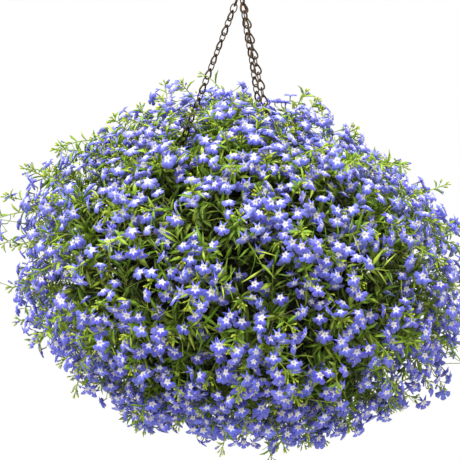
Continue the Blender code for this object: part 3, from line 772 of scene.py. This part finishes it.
# %% [markdown]
# ## Growing along the twigs
# Leaves and flowers stand round a twig in a spiral, each a golden angle on from the last. They
# could be scattered by hand or by particles, but neither keeps that order. Here every kind is an
# array with a row for each twig and a column for each leaf or flower on it.

# %% Places round a twig
def in_order(count):
    """Numbers from 0 for the first to 1 for the last."""
    return np.arange(count) / (count - 1.0)


def round_stems(along):
    """Directions cos(v) side + sin(v) across, at right angles to stems, a golden angle apart.

    Each row of directions belongs to one stem and starts at an angle of its own. The side is
    worked out from a line just off the vertical, which no stem follows.
    """
    side = unit(np.cross(along, UP + 0.01))
    across = np.cross(side, along)
    stems, steps = along.shape[:2]
    turn = GOLDEN_ANGLE * np.arange(steps) + chance.uniform(0.0, 2.0 * np.pi, (stems, 1))
    return np.cos(turn)[..., None] * side + np.sin(turn)[..., None] * across


def along_twigs(shares):
    """Place, direction and a direction across, on each twig at its own shares of length."""
    t = shares[..., None]
    along = unit(2.0 * (1.0 - t) * (bend - hubs)[:, None] + 2.0 * t * (tips - bend)[:, None])
    return bezier(hubs, bend, tips, shares), along, round_stems(along)


def leaf_frames_of(way, face):
    """Right, long and thick axes as columns, for leaves along a way that turn to a face."""
    right = unit(np.cross(way, face))
    return np.stack([right, way, np.cross(right, way)], axis=-1)


def flower_frames_of(front, up, roll):
    """Right, up and front axes as columns, rolled about the front by an angle in radians."""
    right = unit(np.cross(up, front))
    upward = np.cross(front, right)
    c, s = np.cos(roll)[:, None], np.sin(roll)[:, None]
    return np.stack([c * right + s * upward, c * upward - s * right, front], axis=-1)


def keep_inside(points, most):
    """Points past a share of the ball's reach, drawn in to it towards the ball's centre."""
    over = share_of_reach(points) / most
    return BALL_CENTRE + (points - BALL_CENTRE) / np.maximum(over, 1.0)[..., None]


print("golden angle:", round(math.degrees(GOLDEN_ANGLE), 1), "degrees")

# %% [markdown]
# ## Chains that stay in sight
# In the photograph the upper part of each chain can be seen in front of the plant. Leaves could
# be deleted by hand there. It is quicker to look at every leaf and flower from the photograph's
# side, and to leave out those that stand before a chain.

# %% What stands before a chain
# How far down each chain shows, as a share of its length, and the clearance on both sides of it
CHAIN_SHOWN = (0.66, 0.48, 0.48)
CLEAR_OF_FLOWER = 0.012
CLEAR_OF_LEAF = 0.006


def before_chain(points, clear):
    """Whether points hide a chain's upper stretch from the photograph's side, within a clearance.

    In that view a point lies at (x, up) / depth, and so do the chain's two ends. The point is in
    the way where it is nearer than the chain and beside the line between those ends.
    """
    sine, cosine = math.sin(CAMERA_RISE), math.cos(CAMERA_RISE)
    axes = np.array([[1.0, 0.0, 0.0], [0.0, sine, cosine], [0.0, cosine, -sine]])
    seen = (points - np.array(camera.location)) @ axes.T
    x, up, depth = seen[..., 0] / seen[..., 2], seen[..., 1] / seen[..., 2], seen[..., 2]
    hidden = np.zeros(points.shape[:-1], bool)
    for ends, shown in zip(CHAIN_LINES, CHAIN_SHOWN):
        end = (np.array(ends) - np.array(camera.location)) @ axes.T
        flat = end[:, :2] / end[:, 2:]
        share = (up - flat[0, 1]) / (flat[1, 1] - flat[0, 1])
        beside = np.abs(x - flat[0, 0] - share * (flat[1, 0] - flat[0, 0])) * depth < clear
        nearer = depth < end[0, 2] + share * (end[1, 2] - end[0, 2]) + clear
        hidden |= beside & nearer & (share > 0.0) & (share < shown)
    return hidden


def leaf_before_chain(place, way, length):
    """Whether a leaf's foot, middle or tip hides a chain."""
    reaches = [share * length[..., None] * way for share in (0.0, 0.5, 1.0)]
    return np.any([before_chain(place + reached, CLEAR_OF_LEAF) for reached in reaches], axis=0)


print("twig tips before a chain:", int(before_chain(tips, CLEAR_OF_LEAF).sum()))

# %% Flowers
# They fill the outer part of each twig. The stalks are shorter near its tip. Each flower's face
# turns out, a little up to the light, and away from its twig.
FLOWERS_A_TWIG = 11
FLOWERS_START = 0.52
FLOWERS_SPAN = 0.43
HEAD_SPREAD, SPREAD_LOSS = 0.026, 0.014
HEAD_RISE = 0.010
HEAD_MOST = (0.90, 1.03)
FACE_LEVEL = np.array([1.0, 1.0, 0.55])
FACE_ASIDE = 0.45
FACE_UP = 0.16
FACE_PUSH = 0.45

shape = (TWIGS, FLOWERS_A_TWIG)
order = in_order(FLOWERS_A_TWIG)
shares = FLOWERS_START + FLOWERS_SPAN * order + chance.uniform(-0.03, 0.03, shape)
node, along, radial = along_twigs(shares)
spread = (HEAD_SPREAD - SPREAD_LOSS * order + chance.uniform(-0.003, 0.005, shape))[..., None]
rise = (HEAD_RISE + chance.uniform(-0.004, 0.008, shape))[..., None]
heads = node + spread * radial + rise * along
away = unit(heads - BALL_CENTRE)
most = (chance.uniform(*HEAD_MOST, shape) + crown_change[:, None]) * (1.0 + swell(away, TRIMS))
heads = keep_inside(heads, most)
front = unit(away * FACE_LEVEL) + FACE_ASIDE * radial + FACE_UP * UP
front = unit(front + chance.normal(0.0, FACE_PUSH, (*shape, 3)))
print(heads.shape[0] * heads.shape[1], "places for flowers")

# %% Which flowers open, and how large
# There are fewer on the crown, which is leafier.
KEPT_POLAR = (40.0, 75.0, 105.0, 130.0)
KEPT_SHARE = (0.66, 0.76, 0.82, 1.0)
FLOWER_RADIUS = 0.0096
STALK_JOINT = 0.80
STALK_ARCH = 0.18
STALK_POINTS = 4

kept_share = np.interp(polar, KEPT_POLAR, KEPT_SHARE)
kept = chance.uniform(0.0, 1.0, shape) < kept_share[:, None]
kept &= ~before_chain(heads, CLEAR_OF_FLOWER)
heads, front, node = heads[kept], front[kept], node[kept]
flower_owner = np.repeat(owner, FLOWERS_A_TWIG)[kept.ravel()]
count = len(heads)
up = UP + chance.normal(0.0, 0.15, (count, 3))
flower_frames = flower_frames_of(front, up, chance.normal(0.0, 0.5, count))
flower_size = FLOWER_RADIUS * chance.uniform(0.80, 1.10, (count, 1)) * np.ones((1, 3))
flower_size[:, 1] *= chance.uniform(0.86, 1.08, count)
flower_size[:, 2] *= chance.uniform(0.7, 1.7, count)
flower_tone = chance.uniform(0.0, 1.0, count)
flower_depth = share_of_reach(heads)

stalk_end = heads - STALK_JOINT * flower_size[:, 2:] * front
stalk_length = np.linalg.norm(stalk_end - node, axis=1)[:, None]
stalk_bend = 0.5 * (node + stalk_end) - STALK_ARCH * stalk_length * front
stalks = bezier(node, stalk_bend, stalk_end, even_steps(count, STALK_POINTS))
print(count, "flowers")

# %% [markdown]
# ## Leaves and side shoots
# Leaves grow all along a twig, from 20 mm long at its foot to 12 mm at its tip, and fewer on the
# flowery underside. Behind them, the real plant is dense with leafy side shoots. One dark blob
# could stand for those, but it would show in every gap, so they are grown too, with leaves of
# fewer faces.

# %% Leaves
LEAVES_A_TWIG = 24
LEAF_POLAR = (20.0, 60.0, 105.0, 135.0)
LEAF_SHARE = (0.72, 0.99, 0.92, 0.36)
LEAF_LENGTH, LENGTH_LOSS = 0.020, 0.008
LEAF_WIDTH, WIDTH_LOSS = 0.0029, 0.0018
LEAF_THICKEST = 0.012

shape = (TWIGS, LEAVES_A_TWIG)
order = in_order(LEAVES_A_TWIG)
shares = 0.03 + 0.93 * order + chance.uniform(-0.015, 0.015, shape)
leaf_place, along, radial = along_twigs(shares)
leaf_way = unit(0.55 * along + 0.9 * radial + chance.normal(0.0, 0.22, (*shape, 3)))
leaf_face = unit(0.8 * along + 0.5 * UP + chance.normal(0.0, 0.3, (*shape, 3)))
leaf_length = LEAF_LENGTH - LENGTH_LOSS * order + chance.uniform(-0.004, 0.004, shape)
leaf_width = LEAF_WIDTH - WIDTH_LOSS * order + chance.uniform(-0.0005, 0.0007, shape)
kept_share = np.interp(polar, LEAF_POLAR, LEAF_SHARE)
kept = chance.uniform(0.0, 1.0, shape) < kept_share[:, None]
kept &= ~leaf_before_chain(leaf_place, leaf_way, leaf_length)
leaf_frames = leaf_frames_of(leaf_way[kept], leaf_face[kept])
leaf_place, leaf_length, leaf_width = leaf_place[kept], leaf_length[kept], leaf_width[kept]
leaf_height = np.minimum(0.9 * leaf_length, LEAF_THICKEST)
leaf_size = np.stack([leaf_width, leaf_length, leaf_height], axis=1)
leaf_tone = chance.uniform(0.0, 1.0, len(leaf_place))
leaf_depth = share_of_reach(leaf_place)
leaf_owner = np.repeat(owner, LEAVES_A_TWIG)[kept.ravel()]
print(len(leaf_place), "leaves")

# %% Side shoots
# Each one starts at the nearest point on the inner part of a twig.
SHOOTS = 1320
SHOOT_SHARE = (0.42, 0.88)
SHOOT_LENGTH = (0.018, 0.034)
SHOOT_POINTS = 6
SHOOT_ARCH = 0.15
SHOOT_MOST = 0.93
LOWEST_SHOOT = 172.0
SAMPLES_A_TWIG = 9
SAMPLED_SHARE = 0.8

shoot_azimuth, shoot_polar = even_directions(SHOOTS, LOWEST_SHOOT)
shoot_direction = outward(shoot_azimuth, shoot_polar)
shoot_share = chance.uniform(*SHOOT_SHARE, SHOOTS) * np.interp(shoot_polar, (30.0, 70.0), (0.80, 1.0))
shoot_middle = BALL_CENTRE + shoot_direction * (reach(shoot_direction) * shoot_share)[:, None]
samples = bezier(hubs, bend, tips, even_steps(TWIGS, SAMPLES_A_TWIG, SAMPLED_SHARE)).reshape(-1, 3)
nearest = np.argmin(np.linalg.norm(shoot_middle[:, None] - samples, axis=-1), axis=1)
shoot_start = samples[nearest]
shoot_owner = owner[nearest // SAMPLES_A_TWIG]
shoot_way = unit(shoot_middle - shoot_start + chance.normal(0.0, 0.012, (SHOOTS, 3)))
shoot_length = chance.uniform(*SHOOT_LENGTH, SHOOTS)[:, None]
shoot_end = shoot_middle + shoot_length * shoot_way
shoot_bend = 0.5 * (shoot_start + shoot_end) + SHOOT_ARCH * shoot_length * UP
shoot_end = keep_inside(shoot_end, SHOOT_MOST)
shoot_paths = bezier(shoot_start, shoot_bend, shoot_end, even_steps(SHOOTS, SHOOT_POINTS))
print(SHOOTS, "side shoots")

# %% Leaves on side shoots
LEAVES_A_SHOOT = 10
INNER_LENGTH = (0.015, 0.028)
INNER_HALF_WIDTH = (0.0022, 0.0046)
INNER_THICKNESS = 0.012

shape = (SHOOTS, LEAVES_A_SHOOT)
shares = np.tile(0.12 + 0.86 * in_order(LEAVES_A_SHOOT), (SHOOTS, 1))
inner_place = bezier(shoot_start, shoot_bend, shoot_end, shares)
along = unit(shoot_end - shoot_start)[:, None] + np.zeros((*shape, 3))
radial = round_stems(along)
inner_way = unit(0.5 * along + 0.9 * radial + chance.normal(0.0, 0.25, (*shape, 3)))
inner_face = unit(0.6 * along + 0.6 * UP + chance.normal(0.0, 0.35, (*shape, 3)))
inner_length = chance.uniform(*INNER_LENGTH, shape)
kept = ~leaf_before_chain(inner_place, inner_way, inner_length)
inner_frames = leaf_frames_of(inner_way[kept], inner_face[kept])
inner_place = inner_place[kept]
count = len(inner_place)
inner_depth = share_of_reach(inner_place)
inner_width = chance.uniform(*INNER_HALF_WIDTH, count)
inner_width *= np.interp(inner_depth, (0.70, 0.88), (1.0, 0.55))
inner_size = np.stack([inner_width, inner_length[kept], np.full(count, INNER_THICKNESS)], axis=1)
inner_tone = chance.uniform(0.0, 1.0, count)
inner_owner = np.repeat(shoot_owner, LEAVES_A_SHOOT)[kept.ravel()]
print(count, "leaves on side shoots")

# %% [markdown]
# ## Buds
# The last stretch of a twig carries club-shaped buds, smaller and greener toward the tip. They
# are too small for sepals of their own, so the finish paints the calyx on them.

# %% Buds
BUDS_A_TWIG = 6
BUDS_START = 0.92
BUDS_SPAN = 0.08
BUD_LENGTH, BUD_LENGTH_LOSS = 0.0062, 0.0025
BUD_LIFT = 0.006
BUD_WIDTH = 0.55
BUD_STALK_POINTS = 2

shape = (TWIGS, BUDS_A_TWIG)
order = in_order(BUDS_A_TWIG)
shares = np.broadcast_to(BUDS_START + BUDS_SPAN * order, shape)

# Buds stand at even shares. This draw is passed over and not used, and the later draws come after it.
chance.uniform(0.0, 1.0, shape)
bud_node, along, radial = along_twigs(shares)
bud_way = unit((0.5 + 0.8 * order)[:, None] * along + 0.8 * (1.0 - 0.6 * order)[:, None] * radial)
bud_place = bud_node + (BUD_LIFT * (1.0 - 0.5 * order))[:, None] * bud_way
bud_length = BUD_LENGTH - BUD_LENGTH_LOSS * order + chance.uniform(-0.0006, 0.0008, shape)
bud_tone = np.clip(1.0 - order + chance.normal(0.0, 0.15, shape), 0.0, 1.0)
kept = ~before_chain(bud_place, CLEAR_OF_LEAF)
bud_place, bud_way, bud_node = bud_place[kept], bud_way[kept], bud_node[kept]
bud_length, bud_tone = bud_length[kept], bud_tone[kept]
bud_frames = leaf_frames_of(bud_way, UP + 0.02)
bud_size = np.stack([BUD_WIDTH * bud_length, bud_length, BUD_WIDTH * bud_length], axis=1)
bud_depth = share_of_reach(bud_place)
bud_owner = np.repeat(owner, BUDS_A_TWIG)[kept.ravel()]
bud_steps = even_steps(len(bud_place), BUD_STALK_POINTS)
bud_stalks = bezier(bud_node, 0.5 * (bud_node + bud_place), bud_place, bud_steps)
print(len(bud_place), "buds")

# %% [markdown]
# ## The plant's finishes
# Every finish follows the shape's own UV map, so the white eye stays in the middle of each flower
# and the midrib in the middle of each leaf. A picture of a petal could do that too, but it would
# make all flowers alike. Here each copy has its own tone, and its depth in the ball adds painted shade.

# %% Petal: place on the face
# Petal tissue: thin and velvety, so it has no gloss, a soft sheen at its edges, and fine veins that
# fan out from the white eye. The lobes are periwinkle to violet-blue.
petal, tree, shader = new_material("lobelia petal tissue")
own = add(tree, "UVMap", uv_map="own")
centred = add(tree, "VectorMath", {0: own, 1: (0.5, 0.5, 0.0)}, operation="SUBTRACT")
doubled = add(tree, "VectorMath", {0: centred, "Scale": 2.0}, operation="SCALE")
apart = add(tree, "SeparateXYZ", {0: doubled})
radius = add(tree, "VectorMath", {0: doubled}, operation="LENGTH").outputs["Value"]
angle = add(tree, "Math", {0: apart.outputs["Y"], 1: apart.outputs["X"]}, operation="ARCTAN2")
tone = add(tree, "Attribute", attribute_name="tone").outputs["Fac"]
depth = add(tree, "Attribute", attribute_name="depth").outputs["Fac"]

# Thirty-four veins fan out round the face.
fine = add(tree, "Math", {0: angle, 1: 34.0}, operation="MULTIPLY")
fine = add(tree, "Math", {0: fine}, operation="SINE")

# The eye reaches out along the lobes: its radius is divided by 1 - 0.28 cos(5.8 (angle + 90 degrees)).
star = add(tree, "Math", {0: angle, 1: math.pi / 2.0}, operation="ADD")
star = add(tree, "Math", {0: star, 1: 5.8}, operation="MULTIPLY")
star = add(tree, "Math", {0: star}, operation="COSINE")
star = add(tree, "Math", {0: star, 1: -0.28, 2: 1.0}, operation="MULTIPLY_ADD")
eye_radius = add(tree, "Math", {0: radius, 1: star}, operation="MULTIPLY")
print("where on the petal:", len(tree.nodes), "nodes")

# %% Petal: colours
# A node that mixes colours has several sockets of one name, so they are picked by number.
MIX_A, MIX_B, MIX_COLOUR = 6, 7, 2

# Painted light: the flowers are paler higher up on the plant, where more light falls, and some are bluer
# than others.
coordinates = add(tree, "TexCoord")
height = add(tree, "SeparateXYZ", {0: coordinates.outputs["Object"]}).outputs["Z"]
# Painted light: the lobe colour runs from dark violet low on the plant to pale periwinkle at its top, mixed
# with each flower's own tone.
painted_top_light = add(tree, "MapRange", {"Value": height, "From Min": -0.52, "From Max": -0.16})
tone_and_painted_light = add(tree, "Math", {0: tone, 1: 0.45}, operation="MULTIPLY")
tone_and_painted_light = add(tree, "Math", {0: painted_top_light, 1: 0.55, 2: tone_and_painted_light}, operation="MULTIPLY_ADD")
violets = ((0.0, "#322CA2"), (1.0, "#A8A8FF"), (0.35, "#544ED4"), (0.7, "#7C7AF6"))
lobe = add(tree, "ValToRGB", {"Fac": tone_and_painted_light}, violets)
bluer = add(tree, "Math", {0: tone, 1: 7.3}, operation="MULTIPLY")
bluer = add(tree, "Math", {0: bluer}, operation="FRACT")
bluer = add(tree, "Math", {0: bluer, 1: 0.42}, operation="MULTIPLY")
colour = add(tree, "Mix", {"Factor": bluer, MIX_A: lobe, MIX_B: srgb("#6A86F0")}, data_type="RGBA")

# Layers from the bottom up: what each follows, from where to where, its strength at both, colour.
# They are the shade inside the plant, the veins, the pale rim, the eye, the throat and the tube.
layers = (
    (depth, 0.74, 0.97, 0.60, 0.0, "#282076"),
    (fine, 0.2, 1.0, 0.0, 0.22, "#4C3CC0"),
    (radius, 0.55, 1.0, 0.0, 0.28, "#A8B0FF"),
    (eye_radius, 0.24, 0.41, 1.0, 0.0, "#DCD8D2"),
    (radius, 0.06, 0.15, 0.55, 0.0, "#8C7C8C"),
    (radius, 1.5, 2.5, 0.0, 1.0, "#5A46B4"),
)
for value, low, high, weak, strong, code in layers:
    ends = {"From Min": low, "From Max": high, "To Min": weak, "To Max": strong}
    share = add(tree, "MapRange", {"Value": value, **ends})
    layer = {"Factor": share, MIX_A: colour.outputs[MIX_COLOUR], MIX_B: srgb(code)}
    colour = add(tree, "Mix", layer, data_type="RGBA")
tree.links.new(colour.outputs[MIX_COLOUR], shader.inputs["Base Color"])
shader.inputs["Roughness"].default_value = 0.62
shader.inputs["IOR"].default_value = 1.38
shader.inputs["Sheen Weight"].default_value = 0.15
print(petal.name + ":", len(tree.nodes), "nodes")

# %% Leaf
# Leaf blade: a thin waxy skin over green tissue, mid green with a paler midrib. Painted shade makes
# the leaves deep inside the plant dark olive, and less so on the crown, where more light comes in.
blade_green, tree, shader = new_material("lobelia leaf blade")
own = add(tree, "UVMap", uv_map="own")
apart = add(tree, "SeparateXYZ", {0: own})
tone = add(tree, "Attribute", attribute_name="tone").outputs["Fac"]
depth = add(tree, "Attribute", attribute_name="depth").outputs["Fac"]
greens = ((0.0, "#527C0C"), (1.0, "#BED04A"), (0.5, "#80AA18"))
unshaded_green = add(tree, "ValToRGB", {"Fac": tone}, greens)
coordinates = add(tree, "TexCoord")
height = add(tree, "SeparateXYZ", {0: coordinates.outputs["Object"]}).outputs["Z"]
# Painted light and shade: leaves deep in the ball turn dark olive, and high on the crown they keep more of
# their green.
crown = add(tree, "MapRange", {"Value": height, "From Min": -0.25, "From Max": -0.15, "To Max": 0.25})
lit = add(tree, "Math", {0: depth, 1: crown}, operation="ADD")
painted_shade = add(tree, "MapRange", {"Value": lit, "From Min": 0.58, "From Max": 0.88})
green = add(tree, "Mix", {"Factor": painted_shade, MIX_A: srgb("#1C260A"), MIX_B: unshaded_green}, data_type="RGBA")
middle = add(tree, "Math", {0: apart.outputs["Y"], 1: 0.5}, operation="SUBTRACT")
middle = add(tree, "Math", {0: middle}, operation="ABSOLUTE")
ends = {"From Min": 0.04, "From Max": 0.10, "To Min": 0.35, "To Max": 0.0}
rib = add(tree, "MapRange", {"Value": middle, **ends})
layer = {"Factor": rib, MIX_A: green.outputs[MIX_COLOUR], MIX_B: srgb("#B4C858")}
ribbed = add(tree, "Mix", layer, data_type="RGBA")
tree.links.new(ribbed.outputs[MIX_COLOUR], shader.inputs["Base Color"])
shader.inputs["Roughness"].default_value = 0.45
shader.inputs["IOR"].default_value = 1.42
print(blade_green.name + ":", len(tree.nodes), "nodes")

# %% Stem and bud
# Stem skin: smooth and slightly waxy, yellow-green to grey-brown, with painted shade that turns it dark
# brown inside the plant.
stem_skin, tree, shader = new_material("lobelia stem skin")
tone = add(tree, "Attribute", attribute_name="tone").outputs["Fac"]
depth = add(tree, "Attribute", attribute_name="depth").outputs["Fac"]
unshaded_skin = add(tree, "ValToRGB", {"Fac": tone}, ((0.0, "#6E8A14"), (1.0, "#7A6A58"), (0.6, "#96AE24")))
# Painted shade: the deeper inside the ball, the darker brown the stem.
painted_shade = add(tree, "MapRange", {"Value": depth, "From Min": 0.70, "From Max": 0.95})
skin = add(tree, "Mix", {"Factor": painted_shade, MIX_A: srgb("#33260F"), MIX_B: unshaded_skin}, data_type="RGBA")
tree.links.new(skin.outputs[MIX_COLOUR], shader.inputs["Base Color"])
shader.inputs["Roughness"].default_value = 0.5
shader.inputs["IOR"].default_value = 1.42
print(stem_skin.name + ":", len(tree.nodes), "nodes")

# Bud: green calyx below, yellow-green tip while young, violet when it is about to open.
bud_skin, tree, shader = new_material("lobelia bud skin")
own = add(tree, "UVMap", uv_map="own")
along_bud = add(tree, "SeparateXYZ", {0: own}).outputs["X"]
tone = add(tree, "Attribute", attribute_name="tone").outputs["Fac"]
unripe = ((0.0, "#6E8E16"), (0.85, "#BEBE30"), (0.45, "#90AC1C"))
base = add(tree, "ValToRGB", {"Fac": along_bud}, unripe)
violet_tip = ((0.0, "#6A8A18"), (0.8, "#746CDC"), (0.45, "#8490A0"))
ripe = add(tree, "ValToRGB", {"Fac": along_bud}, violet_tip)
ripeness = add(tree, "MapRange", {"Value": tone, "From Min": 0.85, "From Max": 0.95})
skin = add(tree, "Mix", {"Factor": ripeness, MIX_A: base, MIX_B: ripe}, data_type="RGBA")
tree.links.new(skin.outputs[MIX_COLOUR], shader.inputs["Base Color"])
shader.inputs["Roughness"].default_value = 0.5
shader.inputs["IOR"].default_value = 1.4
print(bud_skin.name + ":", len(tree.nodes), "nodes")

# %% [markdown]
# ## One object for each spray
# All that grows on a spray goes into one mesh, because each spray stands for one solid of the
# model. Thousands of separate objects would look the same, but nobody could take hold of a spray.

# %% Putting the sprays together
STEM_POINTS = 14
STEM_SIDES = 6
TWIG_SIDES = 4
THIN_SIDES = 3
FLOWER_STALK = 0.00045
BUD_STALK = 0.0004
SHOOT_RADIUS = 0.0007
FINISHES = [petal, blade_green, stem_skin, bud_skin]


def skin_tubes(paths, radius, sides, tone):
    """Tubes in stem skin along paths, with one radius or with one at each of their points."""
    radii = np.broadcast_to(radius, paths.shape[:2])
    return lay_tubes(paths, radii, sides, SKIN, tone, share_of_reach(paths))


def lay_own(shape, mine, *values):
    """The copies of a shape that grow on one spray."""
    return lay(shape, *[value[mine] for value in values])


total = 0
for number, spray in enumerate(SPRAYS):
    twigs, flowers = owner == number, flower_owner == number
    leaves, buds = leaf_owner == number, bud_owner == number
    shoots, inner = shoot_owner == number, inner_owner == number
    stem_path = smooth_path(spray["stem"], STEM_POINTS)[None]
    stem_radii = np.linspace(0.0018, 0.0014, STEM_POINTS)[None]
    # The main stem gets a depth of 0.5, so it takes the full painted shade.
    stem_depth = np.full((1, STEM_POINTS), 0.5)
    parts = [
        lay_tubes(stem_path, stem_radii, STEM_SIDES, SKIN, np.array([0.2]), stem_depth),
        skin_tubes(twig_paths[twigs], twig_radii[twigs], TWIG_SIDES, chance.uniform(0.0, 0.8, twigs.sum())),
        skin_tubes(stalks[flowers], FLOWER_STALK, THIN_SIDES, flower_tone[flowers]),
        skin_tubes(bud_stalks[buds], BUD_STALK, THIN_SIDES, 0.8 * bud_tone[buds]),
        lay_own(flower, flowers, heads, flower_frames, flower_size, flower_tone, flower_depth),
        lay_own(leaf, leaves, leaf_place, leaf_frames, leaf_size, leaf_tone, leaf_depth),
        skin_tubes(shoot_paths[shoots], SHOOT_RADIUS, THIN_SIDES, chance.uniform(0.0, 0.8, shoots.sum())),
        lay_own(small_leaf, inner, inner_place, inner_frames, inner_size, inner_tone, inner_depth),
        lay_own(bud, buds, bud_place, bud_frames, bud_size, bud_tone, bud_depth),
    ]
    name = spray["name"]
    wear(put_in(f"fine_{name}", parts, FINISHES), [f"spray_{name}"])
    total += sum(int((batch.totals - 2).sum()) for batch in parts)
print("plant triangles:", total)
